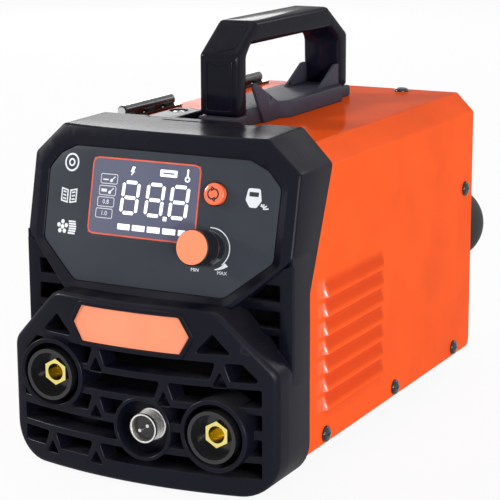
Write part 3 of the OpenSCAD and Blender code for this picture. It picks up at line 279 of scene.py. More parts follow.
def inside(points, loop):
    """Which points lie inside a closed loop, by counting the edges that a ray to the right crosses."""
    x, y = points[:, 0, None], points[:, 1, None]
    x0, y0 = loop[:, 0], loop[:, 1]
    x1, y1 = np.roll(x0, -1), np.roll(y0, -1)
    with np.errstate(divide="ignore", invalid="ignore"):
        hit = ((y0 > y) != (y1 > y)) & (x < (x1 - x0) * (y - y0) / (y1 - y0) + x0)
    return hit.sum(1) % 2 == 1


def within(points, loops):
    """Which points lie inside the first loop and outside the rest."""
    ok = inside(points, loops[0])
    for hole in loops[1:]:
        ok &= ~inside(points, hole)
    return ok


# ---------------------------------------------------------------- meshes
def new_object(name, data):
    obj = bpy.data.objects.new(name, data)
    bpy.context.scene.collection.objects.link(obj)
    return obj


def vertices(mesh):
    """The vertices of a mesh as an array."""
    co = np.zeros(3 * len(mesh.vertices))
    mesh.vertices.foreach_get("co", co)
    return co.reshape(-1, 3)


def strip_faces(rows, cols, wrap_rows=False, wrap_cols=True):
    """Quads of a rows x cols grid of points, closed round the columns or the rows where asked."""
    i = np.arange(rows if wrap_rows else rows - 1)[:, None]
    j = np.arange(cols if wrap_cols else cols - 1)[None, :]
    i1, j1 = (i + 1) % rows, (j + 1) % cols
    return np.stack([i * cols + j, i * cols + j1, i1 * cols + j1, i1 * cols + j], -1).reshape(-1, 4)


def finish_piece(name, points, faces, material, body, nodes=(), smooth=35, centre=None):
    """Makes the object at the origin, turns its faces outward (those of an open shell away from the centre), shades
    it and hands it to the frame."""
    mesh = bpy.data.meshes.new(name)
    mesh.from_pydata(np.reshape(points, (-1, 3)).tolist(), [], faces)
    bm = bmesh.new()
    bm.from_mesh(mesh)
    bmesh.ops.remove_doubles(bm, verts=bm.verts, dist=MERGE)
    bmesh.ops.recalc_face_normals(bm, faces=bm.faces)
    if centre and sum(f.normal.dot(f.calc_center_median() - Vector(centre)) * f.calc_area() for f in bm.faces) < 0:
        bmesh.ops.reverse_faces(bm, faces=bm.faces)
    bm.to_mesh(mesh)
    bm.free()
    mesh.shade_smooth()
    mesh.set_sharp_from_angle(angle=math.radians(smooth))
    obj = new_object(name, mesh)
    mesh.materials.append(finish(material))
    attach(obj, body)
    if nodes:
        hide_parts(*nodes)
    return obj


class Shell:
    """Collects the points and faces of one piece."""

    def __init__(self):
        self.verts, self.faces, self.count = [], [], 0

    def add(self, points, faces):
        """Adds points and an array of faces with the same number of corners each."""
        points = np.reshape(points, (-1, 3))
        self.verts.append(points)
        self.faces += (np.asarray(faces) + self.count).tolist()
        self.count += len(points)

    def grid(self, points, wrap_rows=False, wrap_cols=True, caps=False):
        """Adds a grid of points, where asked with its first and last row closed by a face."""
        rows, cols = points.shape[:2]
        ends = self.count + np.arange(rows * cols).reshape(rows, cols)[[0, -1]]
        self.add(points, strip_faces(rows, cols, wrap_rows, wrap_cols))
        if caps:
            self.faces += [ends[0, ::-1].tolist(), ends[1].tolist()]

    def make(self, name, material, body, nodes=(), smooth=35):
        return finish_piece(name, np.concatenate(self.verts), self.faces, material, body, nodes, smooth)


def lathe(shell, profile, cx, cz, wrap=flat_xz(0.0), n=64):
    """Turns a closed profile of (radius, depth) points about the line through (cx, cz): a point at angle t lies at
    (cx + r cos t, cz + r sin t)."""
    t = 2 * np.pi * np.arange(n) / n
    prof = np.asarray(profile, float)
    r, d = prof[:, :1], prof[:, 1:]
    shell.grid(wrap(cx + r * np.cos(t), cz + r * np.sin(t), d + 0 * t), wrap_rows=True)


def triangles(points, loops, gap):
    """Triangles over points, cut by the edges of closed loops whose points come first: their points and faces."""
    edges, k = [], 0
    for loop in loops:
        i = k + np.arange(len(loop))
        edges += np.stack([i, np.roll(i, -1)], 1).tolist()
        k += len(loop)
    found = delaunay_2d_cdt(points.tolist(), edges, [], 0, gap)
    return np.array([tuple(p) for p in found[0]]), np.array(found[2])


def borders(faces):
    """The loops of vertex numbers round a set of faces: the edges with a face on one side only, chained."""
    directed = {(a, b) for f in faces for a, b in zip(f, f[1:] + f[:1])}
    onward = {a: b for a, b in directed if (b, a) not in directed}
    loops = []
    while onward:
        start, nxt = onward.popitem()
        loops.append([start])
        while nxt != start:
            loops[-1].append(nxt)
            nxt = onward.pop(nxt)
    return loops


def fill(shell, loops, wrap, depth, pitch=7.0):
    """Fills between an outer loop and the hole loops at one depth: triangles over a grid of pitch, kept where
    their middles lie inside the outer loop and outside the holes."""
    lo, hi = loops[0].min(0), loops[0].max(0)
    gx, gy = np.meshgrid(np.arange(lo[0] + pitch / 2, hi[0], pitch), np.arange(lo[1] + pitch / 2, hi[1], pitch))
    grid = np.stack([gx.ravel(), gy.ravel()], 1)
    keep = within(grid, loops)
    near = np.concatenate(loops)
    if len(grid):
        keep &= np.linalg.norm(grid[:, None] - near[None], axis=2).min(1) > CLEAR
    v, f = triangles(np.concatenate([near, grid[keep]]), loops, 1e-6)
    shell.add(wrap(v[:, 0], v[:, 1], np.full(len(v), depth)), f[within(v[f].mean(1), loops)])


def at_depth(wrap, loop, depth):
    return wrap(*loop.T, np.full(len(loop), depth))


def rim(shell, loop, steps, wrap):
    """A strip along a closed loop, one row for each (offset into the material, depth)."""
    shell.grid(np.stack([at_depth(wrap, inset(loop, o), d) for o, d in steps]))


def soft_edge(r, depth=None, n=4):
    """Rim steps of a quarter round of radius r, offset r(1 - sin t) and depth r(1 - cos t), then back to depth."""
    t = np.linspace(0, np.pi / 2, n)
    steps = [(r * (1 - math.sin(a)), r * (1 - math.cos(a))) for a in t]
    return steps if depth is None else steps + [(0.0, depth)]


def slab(shell, outline, wrap, low, high, edge, holes=(), pitch=9.0):
    """A plate between two depths with both rims of every loop rounded by the edge radius."""
    loops = [np.asarray(outline, float)] + [np.asarray(h, float)[::-1] for h in holes]
    steps = [(o, low + d) for o, d in soft_edge(edge)] + [(o, high - d) for o, d in soft_edge(edge)[::-1]]
    for loop in loops:
        rim(shell, loop, steps, wrap)
    for depth in (low, high):
        fill(shell, [inset(loop, edge) for loop in loops], wrap, depth, pitch)


def print_on(shell, loops, wrap, front, back):
    """A thin closed plate: printed colour between two depths, the first loop outside and the rest holes."""
    loops = [np.asarray(loops[0], float)] + [np.asarray(h, float)[::-1] for h in loops[1:]]
    for loop in loops:
        shell.grid(np.stack([at_depth(wrap, loop, d) for d in (front, back)]))
    for depth in (front, back):
        fill(shell, loops, wrap, depth, 9.0)


def printed(name, material, plates, wrap=on_face, front=PRINT_FRONT, back=PRINT_BACK):
    """One piece of printed plates, each an outer loop with its holes."""
    shell = Shell()
    for loops in plates:
        print_on(shell, loops, wrap, front, back)
    shell.make(name, material, "case")


def open_loops(shapes, is_open):
    """The closed outlines of the region where is_open holds, cut by the edges of the given shapes: the triangles
    between all edges are sorted, and the borders of the open ones are rounded at their corners."""
    v, f = triangles(np.concatenate(shapes), shapes, 1e-5)
    loops = []
    for loop in borders(f[is_open(v[f].mean(1))].tolist()):
        p = v[loop]
        back, on = p - np.roll(p, 1, 0), np.roll(p, -1, 0) - p
        lb, lo = np.linalg.norm(back, axis=1), np.linalg.norm(on, axis=1)
        bent = (back * on).sum(1) / (lb * lo) < 0.9
        loops.append(rounded(p, np.where(bent, np.minimum(OPEN_SOFT, OPEN_SHARE * np.minimum(lb, lo)), 0), 3, 6.0))
    return loops


def lettering(text, size, x, v):
    """Plates of a short plain mark in the built-in face, centred on (x, v): each outer loop with its holes."""
    curve = bpy.data.curves.new("mark", "FONT")
    curve.body, curve.size, curve.align_x, curve.align_y = text, size, "CENTER", "CENTER"
    curve.resolution_u = 2
    obj = new_object("mark", curve)
    mesh = bpy.data.meshes.new_from_object(obj)
    bm = bmesh.new()
    bm.from_mesh(mesh)
    bmesh.ops.remove_doubles(bm, verts=bm.verts, dist=1e-4)
    bm.to_mesh(mesh)
    bm.free()
    points = vertices(mesh)[:, :2] + (x, v)
    loops = [points[loop] for loop in borders([list(f.vertices) for f in mesh.polygons])]
    bpy.data.objects.remove(obj)
    bpy.data.curves.remove(curve)
    bpy.data.meshes.remove(mesh)
    holes = [p[::-1] for p in loops if signed_area(p) < 0]
    return [[p] + [h for h in holes if inside(h[:1], p)[0]] for p in loops if signed_area(p) > 0]


def sheet(obj):
    """Gives an open shell its sheet thickness inwards, with lightly broken edges."""
    solid = obj.modifiers.new("Sheet", "SOLIDIFY")
    solid.thickness, solid.offset = SHEET / 1000, -1
    bevel = obj.modifiers.new("Edges", "BEVEL")
    bevel.width, bevel.segments, bevel.limit_method, bevel.angle_limit = 0.25 / 1000, 2, "ANGLE", math.radians(50)


# ---------------------------------------------------------------- materials
def wire(tree, node, ins):
    """Sets or links inputs of a node, named or numbered."""
    for key, value in ins.items():
        if isinstance(value, bpy.types.NodeSocket):
            tree.links.new(value, node.inputs[key])
        else:
            node.inputs[key].default_value = value
    return node


def put(tree, kind, ins=None, **props):
    """Adds a shader node with its properties and inputs."""
    node = tree.nodes.new("ShaderNode" + kind)
    for key, value in props.items():
        setattr(node, key, value)
    return wire(tree, node, ins or {})


def noise(tree, scale, detail):
    return put(tree, "TexNoise", {"Vector": own(tree), "Scale": scale, "Detail": detail}).outputs[0]


def own(tree):
    """The object's own coordinates."""
    return put(tree, "TexCoord").outputs["Object"]


def span(tree, value, a, b, low=0.0, high=1.0):
    """Maps a value from the range a, b to the range low, high."""
    ins = {"Value": value, "From Min": a, "From Max": b, "To Min": low, "To Max": high}
    return put(tree, "MapRange", ins).outputs[0]


def calc(tree, kind, a, b):
    return put(tree, "Math", {0: a, 1: b}, operation=kind).outputs[0]


def over(tree, share, base, colour):
    """A colour laid over a base by a share."""
    return put(tree, "Mix", {0: share, 6: base, 7: (*colour, 1)}, data_type="RGBA").outputs[2]


def attribute(tree, name):
    return put(tree, "Attribute", attribute_name=name).outputs["Fac"]


def group(name, build, ins, outs):
    """A shader node group, built once: build(tree, inputs) returns the output sockets in order."""
    tree = bpy.data.node_groups.get(name)
    if tree is None:
        tree = bpy.data.node_groups.new(name, "ShaderNodeTree")
        for label, value in ins.items():
            kind = "NodeSocketColor" if isinstance(value, tuple) else "NodeSocketFloat"
            tree.interface.new_socket(name=label, in_out="INPUT", socket_type=kind).default_value = value
        for label, kind in outs.items():
            tree.interface.new_socket(name=label, in_out="OUTPUT", socket_type="NodeSocket" + kind)
        src, dst = tree.nodes.new("NodeGroupInput"), tree.nodes.new("NodeGroupOutput")
        for out, socket in zip(build(tree, src.outputs), dst.inputs):
            tree.links.new(out, socket)
    return tree


def moulded_grain():
    """Fine even grain: noise and cells of the object's own coordinates, as a bump."""
    def build(tree, ins):
        cells = put(tree, "TexVoronoi", {"Vector": own(tree), "Scale": ins["Scale"]})
        both = calc(tree, "ADD", noise(tree, ins["Scale"], 3.0), cells.outputs["Distance"])
        return [put(tree, "Bump", {"Strength": 1.0, "Distance": ins["Depth"], "Height": both}).outputs[0]]
    return group("Moulded grain", build, {"Scale": 900.0, "Depth": 0.00005}, {"Normal": "Vector"})


def edge_wear_and_highlight():
    """A mask of rubbed edges, and of painted edge highlights on the gloss handle: where the rounded normal turns away
    from the true one, broken up by noise.
    """
    def build(tree, ins):
        soft = put(tree, "Bevel", {"Radius": ins["Radius"]}, samples=4).outputs[0]
        true = put(tree, "NewGeometry").outputs["Normal"]
        dot = put(tree, "VectorMath", {0: soft, 1: true}, operation="DOT_PRODUCT").outputs["Value"]
        mask = span(tree, dot, 0.97, 0.8)
        return [calc(tree, "MULTIPLY", mask, span(tree, noise(tree, 90.0, 4.0), 0.42, 0.66))]
    return group("Edge wear and highlight", build, {"Radius": 0.0006}, {"Mask": "Float"})


def settled_dust():
    """A mask of light dust on upward faces, in soft patches."""
    def build(tree, ins):
        up = put(tree, "SeparateXYZ", {0: put(tree, "NewGeometry").outputs["Normal"]}).outputs["Z"]
        patches = span(tree, noise(tree, 35.0, 5.0), 0.35, 0.75)
        return [calc(tree, "MULTIPLY", span(tree, up, 0.35, 1.0), patches)]
    return group("Settled dust", build, {}, {"Mask": "Float"})


def tone():
    """Slow colour variation: noise between a lighter and a darker shade of one colour."""
    def build(tree, ins):
        grey = noise(tree, ins["Scale"], 3.0)
        share = span(tree, grey, 0.3, 0.7, ins["Low"], ins["High"])
        return [put(tree, "VectorMath", {0: ins["Color"], "Scale": share}, operation="SCALE").outputs[0], grey]
    return group("Tone variation", build, {"Color": (0.5, 0.5, 0.5, 1), "Scale": 25.0, "Low": 0.92, "High": 1.06},
                 {"Color": "Color", "Noise": "Float"})


METALS = ("brass", "zinc", "nickel", "fins", "copper_wire")
# name: (slot, colour or the property that holds it, roughness low, roughness high, grain scale, grain depth in mm,
#        edge colour (rubbed wear; on the gloss handle a painted highlight), dust, specular if not 0.5, coat if any)
FINISHES = {
    "cover_paint": ("orange_paint", "paint", 0.12, 0.18, 700, 0.006, (0.8, 0.12, 0.03), 0.01, 0, 0.14),
    "bezel_plastic": ("black_plastic", "plastic", 0.24, 0.3, 1400, 0.008, (0.03, 0.03, 0.035), 0.05, 0, 0.24),
    # the gloss handle's edge colour (0.1, 0.1, 0.12) is a painted highlight along its edges
    "handle_gloss": ("gloss_black", (0.006, 0.006, 0.012), 0.06, 0.12, 500, 0.003, (0.1, 0.1, 0.12), 0.01, 0, 0.2),
    "film": ("membrane", "film", 0.35, 0.45, 1800, 0.006, (0.08, 0.08, 0.09), 0.01, 0, 0.15),
    "smoked": ("window", (0.108, 0.113, 0.17), 0.4, 0.5, 60, 0.004, (0.08, 0.08, 0.09), 0.01, 0.2),
    "base_plastic": ("black_plastic", (0.052, 0.05, 0.07), 0.3, 0.4, 900, 0.02, (0.06, 0.06, 0.07), 0.05, 0, 0.2),
    "inner_black": ("black_screw", (0.003, 0.003, 0.004), 0.5, 0.6, 300, 0.01, (0.02, 0.02, 0.02), 0.02, 0.1),
    "orange_moulding": ("orange_plastic", (0.95, 0.11, 0.025), 0.3, 0.4, 900, 0.01, (0.9, 0.3, 0.2), 0.02),
    # the badge film's light salmon colour is partly its own orange and partly a painted reflection
    "badge_film": ("orange_plastic", (0.98, 0.3, 0.16), 0.3, 0.4, 900, 0.006, (0.95, 0.4, 0.3), 0.01, 0.3),
    "button_orange": ("orange_plastic", (0.97, 0.17, 0.07), 0.16, 0.22, 900, 0.003, (0.98, 0.35, 0.2), 0),
    "cap_orange": ("orange_plastic", (0.98, 0.27, 0.13), 0.3, 0.4, 900, 0.004, (0.98, 0.35, 0.2), 0, 0.3),
    "knob_black": ("gloss_black", (0.01, 0.01, 0.012), 0.14, 0.22, 700, 0.005, (0.05, 0.05, 0.05), 0.02),
    "brass": ("brass", (0.86, 0.74, 0.24), 0.16, 0.26, 500, 0.01, (0.95, 0.88, 0.5), 0),
    "zinc": ("zinc_steel", (0.6, 0.61, 0.63), 0.34, 0.5, 90, 0.01, (0.75, 0.75, 0.75), 0.05),
    "nickel": ("nickel", (0.74, 0.73, 0.7), 0.16, 0.28, 300, 0.004, (0.85, 0.85, 0.84), 0),
    "screw_black": ("black_screw", (0.008, 0.008, 0.01), 0.14, 0.22, 600, 0.006, (0.1, 0.1, 0.1), 0.01),
    "rubber": ("rubber", (0.016, 0.016, 0.017), 0.62, 0.78, 800, 0.03, (0.06, 0.06, 0.06), 0.1, 0.35),
    "board_green": ("pcb", (0.012, 0.09, 0.035), 0.3, 0.42, 300, 0.02, (0.2, 0.3, 0.1), 0.1),
    "fins": ("aluminium", (0.7, 0.71, 0.73), 0.3, 0.42, 120, 0.01, (0.85, 0.85, 0.85), 0.1),
    "can_sleeve": ("capacitor", (0.02, 0.03, 0.06), 0.26, 0.34, 200, 0.01, (0.3, 0.3, 0.3), 0.06),
    "core_grey": ("ferrite", (0.05, 0.05, 0.055), 0.5, 0.65, 600, 0.02, (0.14, 0.14, 0.14), 0.08, 0.4),
    "copper_wire": ("copper", (0.8, 0.36, 0.2), 0.22, 0.34, 100, 0.01, (0.9, 0.5, 0.34), 0),
    "rocker": ("rocker_red", (0.5, 0.018, 0.012), 0.2, 0.3, 500, 0.006, (0.6, 0.1, 0.08), 0.02, 0.5, 0.3),
    # near black and without any reflection: painted shade for the slit in the bezel's top
    "painted_gap_shade": ("black_plastic", (0.004, 0.004, 0.005), 0.6, 0.7, 900, 0.002, (0.02, 0.02, 0.02), 0, 0),
}
FINISHES.update({key: (slot, colour, 0.4, 0.5, 900, 0.002, wear_and_highlight, 0, 0.3) for key, slot, colour, wear_and_highlight in (
    ("print_white", "display", (0.75, 0.78, 0.82), (0.8, 0.8, 0.8)),
    ("print_black", "black_plastic", (0.006, 0.006, 0.008), (0.03, 0.03, 0.03)),
    ("print_orange", "orange_plastic", (0.75, 0.1, 0.05), (0.9, 0.3, 0.2)),
    ("lit_segment", "display", (0.9, 0.93, 1.0), (0.9, 0.9, 0.9)))})
PAINTED_LOUVRE_SHADE, PAINTED_SHADE_SHARE = (0.66, 0.052, 0.006), 0.72    # painted shade between the louvre lips, where each lip's shadow falls: its colour and its share
DUST = (0.5, 0.48, 0.45)
LIT = {"Emission Color": (0.9, 0.95, 1.0, 1), "Emission Strength": 0.6}
NOSE_IOR = 2.4                                     # index of the clear layer at the louvres' front ends


def finish(key):
    """The material of one finish: varied colour, rubbed edges (a painted edge highlight on the gloss handle), painted
    shade between the cover's louvres, dust and grain over a Principled shader.
    """
    name = key.replace("_", " ").capitalize()
    mat = bpy.data.materials.get(name)
    if mat:
        return mat
    row = FINISHES[key]
    _, colour, r0, r1, scale, depth, wear_and_highlight, dust, spec, coat = row + (0.5, 0)[len(row) - 8:]
    if isinstance(colour, str):
        colour = getattr(bpy.context.scene.welder_sizes, colour)
    mat = bpy.data.materials.new(name)
    mat.use_nodes = True
    mat.diffuse_color = (*colour, 1)
    tree = mat.node_tree
    shader = tree.nodes["Principled BSDF"]
    shade = put(tree, "Group", {"Color": (*colour, 1)}, node_tree=tone())
    # edge colour over the rubbed-edge mask: wear, and on the gloss handle a painted highlight
    base = over(tree, put(tree, "Group", node_tree=edge_wear_and_highlight()).outputs[0], shade.outputs[0], wear_and_highlight)
    if key == "cover_paint":
        # painted shade between the cover's louvre lips, laid over the paint colour by its share
        base = over(tree, calc(tree, "MULTIPLY", attribute(tree, "painted_shade"), PAINTED_SHADE_SHARE), base, PAINTED_LOUVRE_SHADE)
    if dust:
        lie = put(tree, "Group", node_tree=settled_dust()).outputs[0]
        base = over(tree, calc(tree, "MULTIPLY", lie, dust), base, DUST)
    rough = span(tree, shade.outputs[1], 0.3, 0.7, r0, r1)
    grain = put(tree, "Group", {"Scale": scale, "Depth": depth / 1000}, node_tree=moulded_grain()).outputs[0]
    wire(tree, shader, {
        "Base Color": base, "Metallic": float(key in METALS), "IOR": 1.5 if spec else 1.0, "Specular IOR Level": spec,
        "Roughness": rough, "Coat Roughness": rough, "Normal": grain, "Coat Normal": grain, "Coat Weight": coat})
    if key == "cover_paint":
        nose = attribute(tree, "nose")
        wire(tree, shader, {"Coat Weight": span(tree, nose, 0, 1, coat, 1),
                            "Coat IOR": span(tree, nose, 0, 1, 1.5, NOSE_IOR)})
    if key == "lit_segment":
        wire(tree, shader, LIT)
    return mat


NODE_FINISH = {node: key for key, nodes in {
    "bezel_plastic": "front_bezel handle_base latch_knob fan_frame fan_rotor switch_housing mains_boot_nut spool_hub"
                     " wire_spool spool_nut pressure_arm tension_knob",
    "zinc": "rear_panel partition_plate potentiometer connector_nuts hinge_pins latch_cam feed_motor drive_roll"
            " pressure_roll tension_arm",
    "knob_black": "gun_socket_shell ground_socket_shell signal_connector_insert current_knob",
    "brass": "gun_socket_contact ground_socket_contact board_standoffs wire_guides",
    "screw_black": "hinge_fixed_leaves hinge_door_leaves fan_guard case_screws",
    "copper_wire": "transformer_windings output_choke wire_winding",
    "nickel": "signal_connector_shell signal_connector_pins",
    "inner_black": "chassis_tray inner_front_panel",
    "cover_paint": "top_cover side_door",
    "orange_moulding": "mode_button knob_cap",
    "board_green": "display_board main_board",
    "print_black": "led_display power_transistors",
    "fins": "heatsinks feeder_plate",
    "rubber": "rubber_feet mains_boot",
    "film": "control_membrane", "smoked": "display_window", "badge_film": "badge_plate", "rocker": "switch_rocker",
    "can_sleeve": "bulk_capacitors", "core_grey": "transformer_core", "handle_gloss": "handle_grip",
}.items() for node in nodes.split()}


# ---------------------------------------------------------------- the bezel's outlines
def bumper_outline():
    pts = [(-HALF_B, SHOULDER), (-HALF_B, BEZEL_LOW), (HALF_B, BEZEL_LOW), (HALF_B, SHOULDER),
           (BUMPER_FLAT, BUMPER_TOP), (-BUMPER_FLAT, BUMPER_TOP)]
    return rounded(pts, [10, 20, 20, 10, 12, 12], 10, 4.0)


def badge_outline():
    return rounded([(29, 76.4), (34.5, 86), (29, 95.6), (-29, 95.6), (-34.5, 86), (-29, 76.4)], 1.0, 5, 3.0)


def membrane_outline(grow=0.0):
    pts = np.array([(69, -1), (69.5, 37), (62, 45.5), (52, 50), (-52, 50), (-62, 45.5), (-69.5, 37), (-69, -1),
                    (-45, -21.5), (45, -21.5)])
    return rounded(inset(pts, -grow), [5, 5, 6, 6, 6, 6, 5, 5, 6, 6], 5, 4.0)


def window_outline(grow=0.0, r=0.4):
    x, v, w, h = -6.75, 24.5, 32.5 + grow, 20 + grow
    return rounded(box(x - w, x + w, v - h, v + h), r, 3, 5.0)


def grille_loops():
    """Outlines of the openings between the bars, cut round the peaks and the collars, and of the peaks' cells."""
    rows = [box(-72, 71, z0, z1) for z0, z1, _ in GRILLE]
    peaks = [(x, z0, z1) for z0, z1, xs in GRILLE for x in xs]
    solid = [np.array([(x - 6, z0 - 1), (x + 6, z0 - 1), (x + 2, z1 + 1), (x - 2, z1 + 1)], float)
             for x, z0, z1 in peaks]
    solid += [circle(x, z, sizes[0] + 0.02, 96) for x, z, sizes in PLUGS]
    solid += [mirror([(60, 75), (80, 75), (80, 55)], s) for s in (-1, 1)]

    def is_open(m):
        return np.any([inside(m, r) for r in rows], 0) & ~np.any([inside(m, s) for s in solid], 0)
    through = open_loops(rows + solid, is_open)
    through += [rounded(mirror([(37, 78), (56, 78), (46.3, 88.3)], s), 0.8, 3, 5) for s in (1, -1)]
    cells = [rounded([(x - 4, z0 - 3.5), (x + 4, z0 - 3.5), (x, z1 - 4.5)], 0.5, 3, 4) for x, z0, z1 in peaks]
    return through, cells


# ---------------------------------------------------------------- stage
CAMERA_TURN = (27.7, 13.1, -0.3)                   # degrees of azimuth, elevation and roll
CAMERA_AT = (0.4664, -0.7543 + NOSE / 1000, 0.3335)
CAMERA_LENS = 129.6
# name, size, power, place and aim
LAMPS = (("Key", 0.45, 27, (-1.9, -0.95, 0.9), (0, -0.1, 0.12)), ("Side", 1.0, 15, (1.6, -1.0, 0.4), (0, 0, 0.1)),
         ("Front", 0.2, 9, (1.1, -1.45, 0.2), (0, -0.1, 0.1)), ("Back", 0.66, 8.5, (-1.35, 2.1, 0.7), (0, 0, 0.17)),
         ("Rear", 1.2, 9, (1.3, 2.4, 1.5), (0, 0, 0.1)), ("Top", 1.4, 3, (0.1, 0.4, 1.9), (0, 0, 0.1)))
WHITE = (1, 1, 1, 1)
WORLD_LIGHT = 0.36                                 # strength of the surroundings as a light
FLOOR_R, FLOOR_GLOW = 4, 0.93                      # m, and how far the floor looks white instead of lit


def placed(obj, x, y, z, at):
    """Turns an object to the three axes and moves it to its place."""
    obj.matrix_world = Matrix([[x[i], y[i], z[i], at[i]] for i in range(3)] + [[0, 0, 0, 1]])


class WELDER_OT_stage(bpy.types.Operator):
    """Camera, soft lamps, white surroundings and the pale floor"""
    bl_idname = "welder.stage"
    bl_label = "Stage"

    def execute(self, context):
        scene = context.scene
        scene.view_settings.view_transform = "Standard"
        az, el, roll = (math.radians(a) for a in CAMERA_TURN)
        back = np.array([math.sin(az) * math.cos(el), -math.cos(az) * math.cos(el), math.sin(el)])
        right = np.array([math.cos(az), math.sin(az), 0])
        up = np.cross(back, right)
        right, up = right * math.cos(roll) + up * math.sin(roll), up * math.cos(roll) - right * math.sin(roll)
        cam = new_object("Camera", bpy.data.cameras.new("Camera"))
        placed(cam, right, up, back, CAMERA_AT)
        cam.data.lens, cam.data.sensor_width = CAMERA_LENS, 36
        scene.camera = cam
        for name, size, power, at, aim in LAMPS:
            lamp = bpy.data.lights.new(name, "AREA")
            lamp.shape, lamp.size, lamp.energy = "DISK", size, power
            obj = new_object(name, lamp)
            obj.visible_camera = False
            to = np.array(at) - np.array(aim)
            z = to / np.linalg.norm(to)
            x = np.cross((0, 0, 1), z)
            x /= np.linalg.norm(x)
            placed(obj, x, np.cross(z, x), z, at)
        self.surroundings(scene)
        self.floor()
        return {"FINISHED"}

    def surroundings(self, scene):
        """White where it is seen, and weaker where it lights."""
        world = scene.world = bpy.data.worlds.new("Surroundings")
        world.use_nodes = True
        tree = world.node_tree
        tree.nodes.clear()
        light, white = (put(tree, "Background", {"Color": WHITE, "Strength": power}).outputs[0]
                        for power in (WORLD_LIGHT, 1.0))
        both = put(tree, "MixShader", {0: self.seen(tree), 1: light, 2: white})
        put(tree, "OutputWorld", {0: both.outputs[0]})

    def floor(self):
        """A wide disc that looks nearly white and still takes shadows."""
        mat = bpy.data.materials.new("Pale floor")
        mat.use_nodes = True
        tree = mat.node_tree
        shade = put(tree, "Group", {"Color": (0.9, 0.9, 0.9, 1), "Scale": 3.0, "Low": 0.99, "High": 1.0},
                    node_tree=tone())
        shader = wire(tree, tree.nodes["Principled BSDF"], {"Base Color": shade.outputs[0], "Roughness": 0.9})
        glow = put(tree, "Emission", {"Color": WHITE, "Strength": 1.0})
        share = calc(tree, "MULTIPLY", self.seen(tree), FLOOR_GLOW)
        mix = put(tree, "MixShader", {0: share, 1: shader.outputs[0], 2: glow.outputs[0]})
        wire(tree, tree.nodes["Material Output"], {0: mix.outputs[0]})
        disc = circle(0, 0, FLOOR_R)
        mesh = bpy.data.meshes.new("Floor")
        mesh.from_pydata(np.c_[disc, 0 * disc[:, 0]].tolist(), [], [list(range(len(disc)))])
        mesh.materials.append(mat)
        new_object("Floor", mesh)

    @staticmethod
    def seen(tree):
        """1 where the camera, a reflection or a pane looks, 0 where light is gathered."""
        path = put(tree, "LightPath").outputs
        either = calc(tree, "MAXIMUM", path["Is Camera Ray"], path["Is Glossy Ray"])
        return calc(tree, "MAXIMUM", either, path["Is Transmission Ray"])


# ---------------------------------------------------------------- operators
class WELDER_OT_finishes(bpy.types.Operator):
    """Gives every carried-over CAD node its finish"""
    bl_idname = "welder.finishes"
    bl_label = "Finishes"

    def execute(self, context):
        for name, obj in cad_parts.items():
            obj.data.materials.clear()
            obj.data.materials.append(finish(NODE_FINISH[name]))
        return {"FINISHED"}


